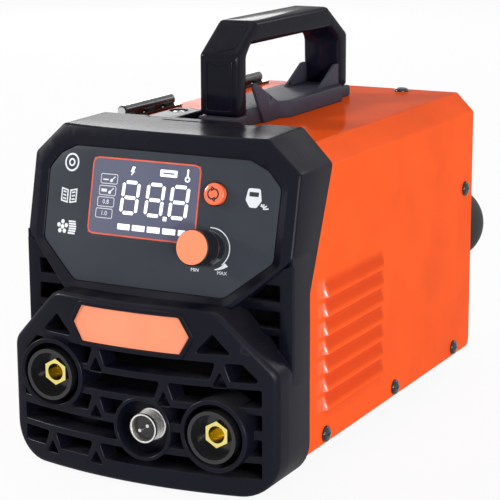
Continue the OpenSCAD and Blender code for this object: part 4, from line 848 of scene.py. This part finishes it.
class WELDER_OT_bezel(bpy.types.Operator):
    """The moulded front bezel: bumper grille, wings, leaned frame, collars, tab and rear edge"""
    bl_idname = "welder.bezel"
    bl_label = "Front bezel"

    def execute(self, context):
        r = context.scene.welder_sizes.edge
        shell = Shell()
        self.bumper(shell, r)
        self.upper(shell)
        for side in (1, -1):
            self.wing(shell, side, r)
        self.collars(shell)
        self.tab(shell)
        shell.make("Bezel", "bezel_plastic", "case", ("front_bezel",))
        # a flat near-black plate on the bezel's top: painted shade standing in for a slit
        printed("Bezel_slit_shade", "painted_gap_shade", [[box_loop(-19, 14, 69.3, 70.6, 0.5)]], plan(BEZEL_TOP), -0.03, 0.05)
        return {"FINISHED"}

    @staticmethod
    def bumper(shell, r):
        """Bowed bumper front with its open grille, then a skirt that runs back to the cover."""
        outline = bumper_outline()
        through, cells = ([p[::-1] for p in loops] for loops in grille_loops())
        rings = [circle(x, z, sizes[0] - 1.2, 96)[::-1] for x, z, sizes in PLUGS]
        badge = badge_outline()[::-1]
        rim(shell, outline, soft_edge(WALL, BUMPER_DEEP, 7), on_nose)
        for loop in through:
            rim(shell, loop, soft_edge(r, BUMPER_DEEP), on_nose)
        for loop in cells:
            rim(shell, loop, soft_edge(0.5, CELL_DEEP), on_nose)
            fill(shell, [loop[::-1]], on_nose, CELL_DEEP)
        for ring in rings:
            rim(shell, ring, [(0, 0), (0, BUMPER_DEEP)], on_nose)
        proud = [(2.75, 0), (2.55, -0.25), (2.5, -0.8), (2.25, -1.1), (1.9, -RIM_HEIGHT), (0.7, -RIM_HEIGHT),
                 (0.35, -1.1), (0.15, -0.85), (0.1, -0.4), (0.1, BADGE_DEEP)]
        rim(shell, badge, proud, on_nose)
        fill(shell, [badge[::-1]], on_nose, BADGE_DEEP)
        front = [inset(outline, WALL)] + [inset(q, r) for q in through] + [inset(q, 0.5) for q in cells]
        fill(shell, front + rings + [inset(badge, proud[0][0])], on_nose, 0.0)
        fill(shell, [outline] + through + rings, on_nose, BUMPER_DEEP)
        foot = [(-58, 5.5), (58, 5.5), (68, 12), (73, 21), (-73, 21), (-68, 12)]
        slab(shell, rounded(foot, 1.0, 4, 6.0), flat_xz(38.0), 0.0, 1.6, 0.3, pitch=12)
        loop, inner = inset(outline, 0.05), inset(outline, 5.0)
        rear = np.where(outline[:, 1] > SHOULDER + 0.5, 31.0, SKIRT_Y)
        a, b = loop.T
        c, d = inner.T
        shell.grid(np.stack([at_depth(on_nose, loop, 4.0), metres(a, rear - REAR_SOFT, b),
                             metres(a * REAR_TAPER, rear, b), metres(c, rear, d), at_depth(on_nose, inner, 4.0)]),
                   wrap_rows=True)

    @staticmethod
    def upper(shell):
        """Leaned frame round the controls, with the sloped step down to the membrane and the walls behind it."""
        half = [(50, 98.5), (HALF_B, 125), (HALF_B, 166.7), (61, BEZEL_TOP)]
        top = [(x, BEZEL_TOP) for x in np.linspace(39.5, 24.5, 21)]
        radii = [3, 0.8, 4, 4]
        world = rounded(half + top + [(-x, z) for x, z in half[::-1]], radii + [0] * len(top) + radii[::-1], 6, 4.0)
        x, z = world.T
        face = np.stack([x, face_height(x, z)], 1)
        notch = (np.abs(x - NOTCH_X) < NOTCH_R) & (z > BEZEL_TOP - 0.1)
        rear = np.where(notch, NOTCH_Y - np.sqrt(np.maximum(0, NOTCH_R ** 2 - (x - NOTCH_X) ** 2)), bezel_rear(z))
        ix, iz = inset(world, WALL).T
        back = np.stack([ix, face_height(ix, iz)], 1)
        rows = [at_depth(on_face, inset(face, o), d) for o, d in soft_edge(FACE_SOFT, n=6)]
        rows += [metres(x, rear - REAR_SOFT, z), metres(x * REAR_TAPER, rear, z - 0.2 * (z > 160)),
                 metres(ix, rear, iz), at_depth(on_face, back, FACE_BACK)]
        shell.grid(np.stack(rows))
        film, pane = membrane_outline()[::-1], inset(window_outline()[::-1], 0.2)
        step = [(4.232, 0), (4.002, 0.06), (3.772, 0.25), (0.46, 1.75), (0.276, 1.9), (0.115, 2.1),
                (0.092, FACE_FLOOR)]
        rim(shell, film, step, on_face)
        fill(shell, [inset(face, FACE_SOFT), inset(film, step[0][0])], on_face, 0.0)
        fill(shell, [inset(film, step[-1][0])[::-1], pane], on_face, FACE_FLOOR)
        rim(shell, pane, [(0, FACE_FLOOR), (0, FACE_BACK)], on_face)
        fill(shell, [back, pane], on_face, FACE_BACK)

    @staticmethod
    def wing(shell, side, r):
        """Flat wing beside the bumper, with three slots and the side wall behind it."""
        outline = rounded(mirror([(44, 86), (62, 62), (HALF_B, 62), (HALF_B, 122), (70, 118), (44, 112)], side),
                          0.5, 2, 5.0)
        slots = [[(49, 102.5), (72, 102.5), (72, 110.5), (54, 110.5)], [(47, 88.5), (72, 88.5), (72, 97), (47, 97)],
                 [(56, 77.5), (71.5, 77.5), (71.5, 84.5), (53, 84.5)]]
        holes = [rounded(mirror(s, side), 0.5, 3, 5.0)[::-1] for s in slots]
        wrap = flat_xz(WING_Y)
        rim(shell, outline, soft_edge(0.5, WING_DEEP, 3), wrap)
        for h in holes:
            rim(shell, h, soft_edge(r, WING_DEEP), wrap)
        fill(shell, [inset(outline, 0.5)] + [inset(h, r) for h in holes], wrap, 0.0)
        fill(shell, [outline] + holes, wrap, WING_DEEP)
        z = np.array([58.0, 70, 84, 103, 116, 126])
        rear = bezel_rear(z)
        x, inner = side * (HALF_B - 0.01), side * (HALF_B - WALL)
        rows = np.stack([metres(x, WING_Y + 0.6, z), metres(x, rear - REAR_SOFT, z),
                         metres(x * REAR_TAPER, rear, z), metres(inner, rear, z), metres(inner, WING_Y + 1.5, z)])
        shell.grid(rows, wrap_rows=True, wrap_cols=False)
        for end, turn in ((0, 1), (-1, -1)):
            shell.add(rows[:, end], [range(len(rows))[::turn]])

    @staticmethod
    def collars(shell):
        """Round collars of the power sockets, and the deeper cup of the signal connector."""
        for x, z, (r, r_in, bore, back, lip, soft, lip_in, floor) in PLUGS:
            prof = [(bore, back), (r, back), (r, lip)] + arc_points(r - soft, lip, soft, 0, -90)
            prof += arc_points(r_in + INNER_LIP, lip_in, INNER_LIP, -90, -180) + [(r_in, floor), (bore, floor)]
            lathe(shell, prof, x, z, n=96)

    @staticmethod
    def tab(shell):
        """Screw tab on the cover behind the bezel's top edge, with a well for the screw head."""
        outline = rounded(box(TAB_X - 6.5, TAB_X + 11.5, TAB_FRONT, TAB_END), [0.5, 0.5, 3, 3], 5, 6)
        well = circle(TAB_X, TAB_Y, 5.0, 40)
        wrap = plan(BEZEL_TOP)
        high = BEZEL_TOP - CASE_TOP
        rim(shell, outline, soft_edge(0.9, high, 5), wrap)
        rim(shell, well[::-1], soft_edge(0.6, TAB_SINK), wrap)
        fill(shell, [inset(outline, 0.9), inset(well[::-1], 0.6)], wrap, 0.0)
        fill(shell, [well], wrap, TAB_SINK)
        fill(shell, [outline], wrap, high)


def smooth_step(t):
    """3 t^2 - 2 t^3 of a share."""
    return t ** 2 * (3 - 2 * t)


class WELDER_OT_cover(bpy.types.Operator):
    """The painted steel cover: folded sheet with pressed louvres, a door opening and a rounded rear corner"""
    bl_idname = "welder.cover"
    bl_label = "Steel cover"

    def execute(self, context):
        path, ys = self.grid_lines()
        x, z = path[:, 0, None] + 0 * ys, path[:, 1, None] + 0 * ys
        y = ys + 0 * x
        flat_right = x > HALF_W - 0.001
        up = ((z - LOUVRE_LOW) % LOUVRE_PITCH + 0.01) % LOUVRE_PITCH - 0.01
        pressed = ((z > LOUVRE_LOW - 0.005) & (z < LOUVRE_LOW + LOUVRE_PITCH * LOUVRE_N) & (up > -0.005)
                   & (up < LOUVRE_HIGH))
        nose, tail = np.clip((y - LOUVRE_Y) / NOSE_RUN, 0, 1), np.clip((LOUVRE_END - y) / TAIL_RUN, 0, 1)
        slope = 1 - np.clip((up - LOUVRE_LIP) / (LOUVRE_HIGH - LOUVRE_LIP), 0, 1) ** 1.2
        swell = LOUVRE_OUT * smooth_step(nose) * smooth_step(tail) * np.clip(slope, 0, 1)
        x = x + np.where(flat_right & pressed, swell, 0)
        turn, foot = CASE_BACK - REAR_CORNER, CASE_LOW + REAR_CORNER
        u, v = np.clip((y - turn) / REAR_CORNER, 0, 1), np.clip((foot - z) / REAR_CORNER, 0, 1)
        corner = flat_right & (u > 0) & (v > 0)
        y = np.where(corner, turn + REAR_CORNER * u * np.sqrt(1 - v ** 2 / 2), y)
        z = np.where(corner, foot - REAR_CORNER * v * np.sqrt(1 - u ** 2 / 2), z)
        rows, cols = x.shape
        quads = strip_faces(rows, cols, wrap_cols=False)
        lines = path[quads // cols]
        mid_x, mid_z = lines.mean(1).T
        mid_y = ys[quads % cols].mean(1)
        door = ((mid_x < -HALF_W + BEVEL + 0.3) & (mid_z > DOOR_LOW - DOOR_GAP)
                & (mid_y > DOOR_Y[0] - DOOR_GAP) & (mid_y < DOOR_Y[1] + DOOR_GAP))
        slot = ((mid_x > HALF_W - 0.01) & (np.ptp(lines[:, :, 1], axis=1) < 0.03) & (mid_y > LOUVRE_Y + 0.2)
                & (mid_y < LOUVRE_END - 1.0) & (np.abs((mid_z - LOUVRE_LOW + 0.01) % LOUVRE_PITCH) < 0.02))
        obj = finish_piece("Cover", metres(x, y, z), quads[~door & ~slot].tolist(), "cover_paint", "case",
                           ("top_cover",), smooth=50, centre=INSIDE)
        self.shade(obj.data)
        sheet(obj)
        return {"FINISHED"}

    @staticmethod
    def grid_lines():
        """The folded line (x, z) from the left wall over the top to the right wall, dense at the louvres' lips, and
        the places along y."""
        lip = LOUVRE_LOW + LOUVRE_PITCH * np.arange(LOUVRE_N)
        rise = np.array([-2.6, -1.6, -0.8, -0.3, -0.02, 0.0, 0.35, 1.0, 2.0, 3.2, 4.4, 5.4, 6.2, LOUVRE_HIGH])
        fold_x, fold_z = HALF_W - BEVEL, CASE_TOP - BEVEL
        right = np.unique(np.concatenate([(lip[:, None] + rise).ravel(), np.linspace(20, fold_z - FOLD, 24),
                                          CASE_LOW + np.array([0, 0.6, 1.4, 2.4, 3.5, 5.0])]))
        left = np.array([CASE_LOW, 20, DOOR_LOW - DOOR_GAP, 60, 100, 140, fold_z - FOLD])
        path = np.concatenate([
            np.stack([np.full(len(left), -HALF_W), left], 1), fold_arc(-HALF_W, fold_z, 180, 135),
            fold_arc(-fold_x, CASE_TOP, 135, 90), [(-fold_x + 0.9, CASE_TOP)],
            [(x, CASE_TOP) for x in np.linspace(-55, 55, 12)], fold_arc(fold_x, CASE_TOP, 90, 45),
            fold_arc(HALF_W, fold_z, 45, 0), np.stack([np.full(len(right), HALF_W), right[::-1]], 1)])
        ramp = np.array([0, 0.15, 0.4, 0.7, 1.0, 1.3, 1.6, 1.9, 2.3, 3.0, 4.0, 5.2, 6.4])
        ys = np.concatenate([[CASE_FRONT, 60], LOUVRE_Y + ramp, np.linspace(LOUVRE_Y + 7, LOUVRE_END - 7, 9),
                             LOUVRE_END - ramp, [DOOR_Y[0] - DOOR_GAP, DOOR_Y[1] + DOOR_GAP],
                             np.linspace(160, 270, 9),
                             CASE_BACK - REAR_CORNER + np.array([0, 1.5, 2.7, 3.7, 4.5, 5.0])])
        return path, np.unique(np.round(ys, 4))

    @staticmethod
    def shade(mesh):
        """Two shares on the points: painted shade, 1 between the louvre lips where each lip's shadow falls, and
        "nose", 1 at their stretched and glossier front ends."""
        x, y, z = (vertices(mesh) * 1000).T
        y = y - NOSE
        up = (z - LOUVRE_LOW) % LOUVRE_PITCH
        step = np.clip((up - 0.5) / 3.2, 0, 1)
        edge = np.clip((LOUVRE_PITCH - 0.25 - up) / 0.3, 0, 1)
        ends = np.clip((y - LOUVRE_Y - 1.6) / 3, 0, 1) * np.clip((LOUVRE_END - 1.5 - y) / 4, 0, 1)
        field = ((z > LOUVRE_LOW - 3.6) & (z < LOUVRE_LOW + LOUVRE_PITCH * LOUVRE_N - 3.4) & (x > HALF_W - 0.5))
        low = np.clip((z - LOUVRE_LOW + 3.6) / 2.5, 0, 1)
        # painted shade: darkest between the lips, fading out at the louvres' ends and below the lowest lip
        painted_shade = np.where(field, smooth_step(step) * edge * ends * low, 0)
        nose = np.exp(-((y - LOUVRE_Y - 1.1) / 1.3) ** 2) * ((up < 7) & field)
        for name, share in (("painted_shade", painted_shade), ("nose", nose)):
            layer = mesh.attributes.new(name, "FLOAT", "POINT")
            layer.data.foreach_set("value", share.astype(np.float32))


class WELDER_OT_door(bpy.types.Operator):
    """The side door of the wire bay, folded over the bevel"""
    bl_idname = "welder.door"
    bl_label = "Side door"

    def execute(self, context):
        fold_z = CASE_TOP - BEVEL
        end = FOLD / math.sqrt(2)
        path = np.concatenate([
            [(-HALF_W, z) for z in np.linspace(DOOR_LOW, fold_z - FOLD, 12)], fold_arc(-HALF_W, fold_z, 180, 135),
            [(-HALF_W + BEVEL - end - 3, CASE_TOP - end - 3), (-HALF_W + BEVEL - end, CASE_TOP - end)]])
        ys = np.linspace(*DOOR_Y, 16)
        grid = metres(path[:, 0, None] + 0 * ys, ys + 0 * path[:, :1], path[:, 1, None] + 0 * ys)
        quads = strip_faces(len(path), len(ys), wrap_cols=False).tolist()
        sheet(finish_piece("Door", grid, quads, "cover_paint", "door", ("side_door",), centre=INSIDE))
        return {"FINISHED"}


class WELDER_OT_handle(bpy.types.Operator):
    """The strap handle with its soft edges and front inlay, on the moulded base with its ears"""
    bl_idname = "welder.handle"
    bl_label = "Handle"

    def execute(self, context):
        self.strap()
        self.inlay()
        self.base()
        return {"FINISHED"}

    @staticmethod
    def strap():
        """U-shaped strap: its side outline, drawn in (y, z), becomes a plate with rounded rims."""
        y0, y1, top, low = HANDLE_Y, HANDLE_END, HANDLE_TOP, CASE_TOP + SEAT
        pts = [(y0, low), (y0 + POST, low), (y0 + POST, top - GRIP - 6), (y0 + POST + 5.5, top - GRIP),
               (y1 - POST - 13, top - GRIP), (y1 - POST - 1, top - GRIP - 8), (y1 - POST, low), (y1, low),
               (y1, top - 17.6), (y1 - 27, top), (y0 + 23, top), (y0, top - 16.3)]
        outline = rounded(pts, [3, 3, 4.5, 4.5, 6, 6, 3, 3, 4.5, 5, 5, 4.5], 6, 5.0)
        shell = Shell()
        slab(shell, outline, side_wall(HANDLE_HALF), 0.0, 2 * HANDLE_HALF, 2.8, pitch=8)
        shell.make("Handle", "handle_gloss", "case", ("handle_grip",))

    @staticmethod
    def inlay():
        """The raised frame on the front post and the badge on the slanted corner above it."""
        run, drop = 23.0, 16.3
        slant = math.hypot(run, drop)

        def on_slant(a, b, c):
            """Across a, b up the slanted front corner from its lower fold, and depth c."""
            return metres(a, HANDLE_Y + (b * run + c * drop) / slant, HANDLE_TOP - drop + (b * drop - c * run) / slant)
        panel = rounded(box(-8.6, 8.6, 184, 213.6), 1.5, 4, 4)
        inner = rounded([(-7.0, 185.5), (7.0, 185.5), (7.0, 212), (0, 209), (-7.0, 212)], 1.0, 4, 4)
        badge = rounded([(-8.6, 7.5), (-1.0, 1.6), (8.6, 5.5), (8.6, 25), (-8.6, 25)], [0.8, 1.5, 0.8, 1.5, 1.5], 4, 4)
        trim = Shell()
        slab(trim, panel, flat_xz(HANDLE_Y - 0.5), 0.0, 1.2, 0.35, [inner])
        slab(trim, badge, on_slant, -0.45, 0.6, 0.4, pitch=6)
        trim.make("Handle_inlay", "handle_gloss", "case")

    @staticmethod
    def base():
        """Base plate with a raised platform between the posts, a gusset outside each front corner and a web before
        the rear post."""
        y0, y1, z = HANDLE_Y, HANDLE_END, CASE_TOP
        mid = [(11.9, y0 + POST + 0.2), (11.9, y0 + 45), (18, y0 + 54), (18, y0 + 122), (13, y1 - POST - 0.2)]
        soft = [1.1, 4, 4, 5, 1.1]
        shell = Shell()
        for pts, radii, high in ((box(-12, 12, y0 - 3, y0 + POST + 0.15), [2, 2, 1.1, 1.1], SEAT),
                                 (box(-12, 12, y1 - POST - 0.15, y1 + 5), [1.1, 1.1, 2, 2], SEAT),
                                 (mid + [(-x, y) for x, y in mid[::-1]], soft + soft[::-1], PLATFORM)):
            slab(shell, rounded(pts, radii, 4, 6), plan(z + high), 0.0, high, 1.0, pitch=12)
        ear = rounded([(y0 + 28, z + 0.02), (y0 + 46, z + 0.02), (y0 + 46, z + 9.5), (y0 + 18, z + 23.5),
                       (y0 + 14, z + 23.5)], [0.7, 0.7, 2, 2, 2], 4, 5)
        web = rounded([(y1 - 40, z + 2), (y1 - POST - 0.9, z + 2), (y1 - POST - 0.9, z + 21.5),
                       (y1 - POST - 6, z + 21.5), (y1 - 40, z + 9)], [0.6, 0.6, 0.6, 2, 2], 4, 5)
        for outline, x, thick, edge in ((ear, 14.0, 2.1, 0.6), (ear, -11.9, 2.1, 0.6), (web, 11.9, 1.9, 0.5),
                                        (web, -10.0, 1.9, 0.5)):
            slab(shell, outline, side_wall(x), 0.0, thick, edge, pitch=12)
        shell.make("Handle_base", "base_plastic", "case", ("handle_base",))


# ---------------------------------------------------------------- display and printed marks
def digit(cx, cz):
    """Seven separate mitred segments of one figure, leaning a little to the right."""
    plates = []
    for ends in SEGMENTS:
        a, b = np.array(ends) * (DIGIT_W, DIGIT_H)
        along = (b - a) / np.linalg.norm(b - a)
        across = np.array((-along[1], along[0])) * BAR / 2
        tip = along * BAR / 2
        hexa = np.array([a - across, b - across, b + tip * 0.7, b + across, a + across, a - tip * 0.7])
        hexa[:, 0] += hexa[:, 1] * DIGIT_SLANT
        plates.append([hexa + (cx, cz)])
    return plates


def lit_marks():
    """Three figures with a point, five bars under them, and a bolt, a flat frame and a thermometer above."""
    bolt = [(-15.4, 39.4), (-13.6, 39.4), (-14.6, 37.0), (-13.9, 37.0), (-16.0, 34.6), (-15.5, 36.6), (-16.4, 36.6)]
    return [*digit(-14.2, 24.8), *digit(0.8, 24.8), *digit(15.0, 24.8), [box_loop(6.6, 8.8, 14.6, 16.8, 0.2)],
            *([box_loop(-20.3 + 9.1 * i, -12.7 + 9.1 * i, 7.9, 10.9, 0.2)] for i in range(5)),
            [np.array(bolt[::-1]) + (1.2, 1.6)],
            [box_loop(2.6, 12.6, 37.3, 40.9, 0.5), box_loop(4.2, 11.0, 38.7, 39.5, 0.3)],
            [circle(18.6, 37.0, 1.5, 20), circle(18.6, 37.0, 0.8, 20)],
            [box_loop(18.1, 19.1, 38.3, 42.2, 0.4)]]


def mode_marks():
    """Four framed signs at the window's left: two welding ways and two wire sizes."""
    plates = []
    for i, (z0, z1) in enumerate(MODE_BOXES):
        x, mid = -33.6 - 0.5 * i, (z0 + z1) / 2
        outer = box_loop(x, x + 10.8, z0, z1, 0.9)
        plates.append([outer, inset(outer, 0.35)])
        if i < 2:
            plates += [[box_loop(x + 1.4, x + 5.0, mid - 0.8, mid - 0.1 + 0.9 * i, 0.1)],
                       [stroke([(x + 6.0, mid - 1.4), (x + 9.2, mid + 1.4)], 0.6)],
                       [circle(x + 6.9, mid - 0.8, 0.9, 14)]]
        else:
            plates += lettering(("0.8", "1.0")[i - 2], 3.4, x + 5.4, mid)
    return plates


def film_marks():
    """Plain scale lettering and a scale wedge, then generic signs: a wire coil, an open book, a fan and a mask with
    sparks."""
    a = np.radians(np.linspace(288, 322, 10))
    wedge = np.concatenate([polar(CONTROL_X, KNOB_V, 11.3 + np.linspace(0, 2.0, 10), a),
                            polar(CONTROL_X, KNOB_V, 10.9, a)[::-1]])
    out = [*lettering("MIN", 2.5, 27.6, -8.4), *lettering("MAX", 2.5, 42.6, -8.6), [wedge[::-1]]]
    x, v = -54.0, 40.5
    out += [[circle(x, v, r, 40), circle(x, v, r - 1.0, 32)] for r in (4.9, 2.2)]
    x, v = -54.0, 22.5
    for side in (-1, 1):
        page = mirror([(0.5, -3.8), (5.4, -2.9), (5.4, 4.4), (0.5, 3.4)], side) + (x, v)
        out.append([page, inset(page, 0.8)])
        out += [[stroke(mirror([(1.9, k - 0.1), (4.1, k + 0.35)], side) + (x, v), 0.8)] for k in (-1.6, 0.2, 2.0)]
    x, v = -56.5, 6.0
    out.append([circle(x, v, 1.25, 18)])
    out += [[circle(x + 2.7 * math.cos(t), v + 2.7 * math.sin(t), 1.2, 18)]
            for t in (math.radians(90 + 72 * k) for k in range(5))]
    out += [[box_loop(x + 4.6 - 0.25 * abs(k - 2.5), x + 9.6 - 0.3 * abs(k - 2.5), v - 3.5 + 1.25 * k,
                      v - 2.6 + 1.25 * k, 0.3)] for k in range(6)]
    x, v = 55.5, 31.0
    mask = rounded([(x - 3.2, v + 4.8), (x - 4.2, v - 1.4), (x - 1.8, v - 5.0), (x + 1.8, v - 5.0), (x + 4.2, v - 1.4),
                    (x + 3.2, v + 4.8)], 1.3, 4, 4.0)
    out.append([mask, box_loop(x - 2.5, x + 2.5, v + 0.6, v + 2.9, 0.3)])
    for k in range(4):
        t = math.radians(8 + 24 * k)
        a, d = np.array((x + 4.0, v - 5.4)), np.array((math.cos(t), math.sin(t)))
        out.append([stroke([a + 1.4 * d, a + (4.2 - 0.5 * k) * d], 0.7)])
    return out


class WELDER_OT_display(bpy.types.Operator):
    """The lit figures, bars and marks of the display, the orange line round it and the printed film marks"""
    bl_idname = "welder.display"
    bl_label = "Display and printed marks"

    def execute(self, context):
        printed("Window_outline", "print_orange", [[window_outline(0.35, 3.6), window_outline(-0.45, 2.8)]])
        film = Shell()
        holes = [window_outline(0.2), circle(CONTROL_X, KNOB_V, 4.0, 48), circle(CONTROL_X, BUTTON_V, BUTTON_R + 0.5)]
        slab(film, membrane_outline(-0.5), on_face, FACE_RECESS, FACE_RECESS + 0.6, 0.2, holes)
        film.make("Control_film", "film", "case", ("control_membrane",))
        printed("Lit_figures", "lit_segment", lit_marks())
        printed("Mode_marks", "print_white", mode_marks())
        printed("Film_marks", "print_white", film_marks())
        return {"FINISHED"}


class WELDER_OT_controls(bpy.types.Operator):
    """The mode button with its turned-arrow mark, the current knob with its orange cap, and its scale ring"""
    bl_idname = "welder.controls"
    bl_label = "Button and knob"

    def execute(self, context):
        self.knob()
        a = np.radians(np.linspace(-48, 96, 40))
        printed("Knob_ring", "print_white", [[stroke(polar(CONTROL_X, KNOB_V, 10.5, a), 0.5)]])
        self.connector()
        self.button()
        return {"FINISHED"}

    @staticmethod
    def knob():
        """The barrel with a groove round it, and the cap set into its front."""
        r, front = KNOB_R, KNOB_BACK - KNOB_LONG
        barrel = [(0.0, KNOB_BACK), (r - 0.4, KNOB_BACK), (r, KNOB_BACK - 0.4), (r, -4.0), (r - 0.12, -4.15),
                  (r - 0.12, -4.6), (r, -4.75), (r - 0.02, front + 1.0), (r - 0.15, front + 0.5),
                  (r - 0.4, front + 0.2), (r - 0.5, front + 0.25), (r - 0.55, front + 0.6), (0.0, front + 0.6)]
        cap = [(0, front + 0.58), (r - 0.58, front + 0.58), (r - 0.58, front - 0.1), (r - 0.75, front - 0.4),
               (r - 1.4, front - 0.56), (5.0, front - 0.58), (0, front - 0.6)]
        for name, material, profile, node in (("Knob_barrel", "knob_black", barrel, "current_knob"),
                                              ("Knob_cap_orange", "cap_orange", cap, "knob_cap")):
            shell = Shell()
            lathe(shell, profile, CONTROL_X, KNOB_V, on_face_flat, 96)
            shell.make(name, material, "knob", (node,))

    @staticmethod
    def button():
        """The domed button and the two turned arrows on it."""
        button = Shell()
        dome = [(BUTTON_R * math.cos(t * math.pi / 2) ** 0.9 if t < 1 else 0.0, 1.9 - 0.9 * math.sin(t * math.pi / 2))
                for t in np.linspace(0, 1, 8)]
        lathe(button, [(0, 9.9), (BUTTON_R + 1, 9.9), (BUTTON_R + 1, 9.4), (BUTTON_R, 9.4), (BUTTON_R, 2.6)] + dome,
              CONTROL_X, BUTTON_V, on_face_flat)
        button.make("Mode_button", "button_orange", "button", ("mode_button",))
        mark = Shell()
        for side in (1, -1):
            a = np.radians(np.linspace(105, 265, 14)) + (side < 0) * math.pi
            hook = polar(CONTROL_X - side * 0.4, BUTTON_V, 2.6, a)
            print_on(mark, [stroke(hook, 0.75)], button_face, -0.04, 0.03)
            tip = hook[0] + side * np.array([(-0.3, -1.3), (2.3, 0.1), (-0.3, 1.5)])
            print_on(mark, [tip], button_face, -0.05, 0.03)
        mark.make("Button_mark", "print_black", "button")

    @staticmethod
    def connector():
        """Threaded barrel of the signal connector: a rim, ridges r 7.9 and 7.5 each 0.9 mm, and a low flange."""
        barrel = Shell()
        ridge = 2.0 + 0.9 * np.arange(8)
        thread = [(r, y + d) for y in ridge for r, d in ((7.9, 0.0), (7.9, 0.3), (7.5, 0.5), (7.5, 0.75))]
        prof = [(6.8, 19.0), (6.8, 1.2), (7.0, 0.9), (7.4, 0.8), (7.75, 0.95), (7.9, 1.2)] + thread
        prof += [(8.6, 9.1), (8.9, 9.3), (8.9, 9.5), (7.8, 9.5), (7.8, 19.0)]
        lathe(barrel, prof, SIGNAL_X, SIGNAL_Z, n=72)
        barrel.make("Signal_barrel", "nickel", "case", ("signal_connector_shell",))


class WELDER_OT_screws(bpy.types.Operator):
    """Black pan-head screws with cross recesses"""
    bl_idname = "welder.screws"
    bl_label = "Case screws"

    def execute(self, context):
        shell = Shell()
        places = [((s * HALF_W, y, 20.0), (s, 0, 0)) for s in (1, -1) for y in (73.0, 166.0, 258.0)]
        places += [((HALF_W, 273.0, 118.0), (1, 0, 0))]
        places += [((s * 33.0, 275.0, CASE_TOP), (0, 0, 1)) for s in (1, -1)]
        places += [((TAB_X, TAB_Y, BEZEL_TOP - TAB_SINK), (0, 0, 1))]
        places += [((x, 45.8, z), (0, 1, 0)) for x, z in ((60, 150), (-60, 150), (30, 24.3), (-30, 24.3))]
        places += [((0, y, CASE_TOP - SHEET), (0, 0, -1)) for y in (HANDLE_Y + POST / 2, HANDLE_END - POST / 2)]
        for place, out in places:
            self.head(shell, np.array(place), np.array(out, float))
        shell.make("Cover_screws", "screw_black", "case", ("case_screws",), smooth=40)
        return {"FINISHED"}

    @staticmethod
    def head(shell, place, out):
        """One head: rings of radius r(t) and height h round its axis, place + r cos t side + r sin t up + h out, with
        a cross-shaped recess."""
        side = np.array((0.0, 1.0, 0.0)) if abs(out[1]) < 0.5 else np.array((1.0, 0, 0))
        up = np.cross(out, side)
        t = 2 * np.pi * np.arange(48)[:, None] / 48
        cross = 0.62 + 1.55 * np.clip(np.cos(2 * t) ** 2 * 2.2 - 1.2, 0, 1) ** 0.5
        rings = ((4.5, 0.0), (4.5, 0.5), (4.3, 1.15), (3.7, 1.75), (2.9, 2.08), (cross + 0.12, 2.2), (cross, 2.1),
                 (cross * 0.75, 0.9))
        pts = np.stack([place + np.cos(t) * r * side + np.sin(t) * r * up + h * out for r, h in rings])
        shell.grid(metres(*np.moveaxis(pts, -1, 0)), caps=True)


# ---------------------------------------------------------------- add-on
STEPS = (WELDER_OT_stage, WELDER_OT_finishes, WELDER_OT_bezel, WELDER_OT_cover, WELDER_OT_door, WELDER_OT_handle,
         WELDER_OT_display, WELDER_OT_controls, WELDER_OT_screws)


class WELDER_PT_panel(bpy.types.Panel):
    """Lists the steps in the sidebar"""
    bl_idname = "WELDER_PT_panel"
    bl_label = "Welder"
    bl_space_type = "VIEW_3D"
    bl_region_type = "UI"
    bl_category = "Welder"

    def draw(self, context):
        sizes = context.scene.welder_sizes
        for name in ("edge", "paint", "plastic", "film"):
            self.layout.prop(sizes, name)
        for step in STEPS:
            self.layout.operator(step.bl_idname)


CLASSES = (WelderSizes, *STEPS, WELDER_PT_panel)


def register():
    for cls in CLASSES:
        bpy.utils.register_class(cls)
    bpy.types.Scene.welder_sizes = bpy.props.PointerProperty(type=WelderSizes)


def unregister():
    del bpy.types.Scene.welder_sizes
    for cls in reversed(CLASSES):
        bpy.utils.unregister_class(cls)


def main():
    register()
    for step in STEPS:
        name = step.bl_idname.split(".")[1]
        getattr(bpy.ops.welder, name)()


if __name__ == "__main__":
    main()
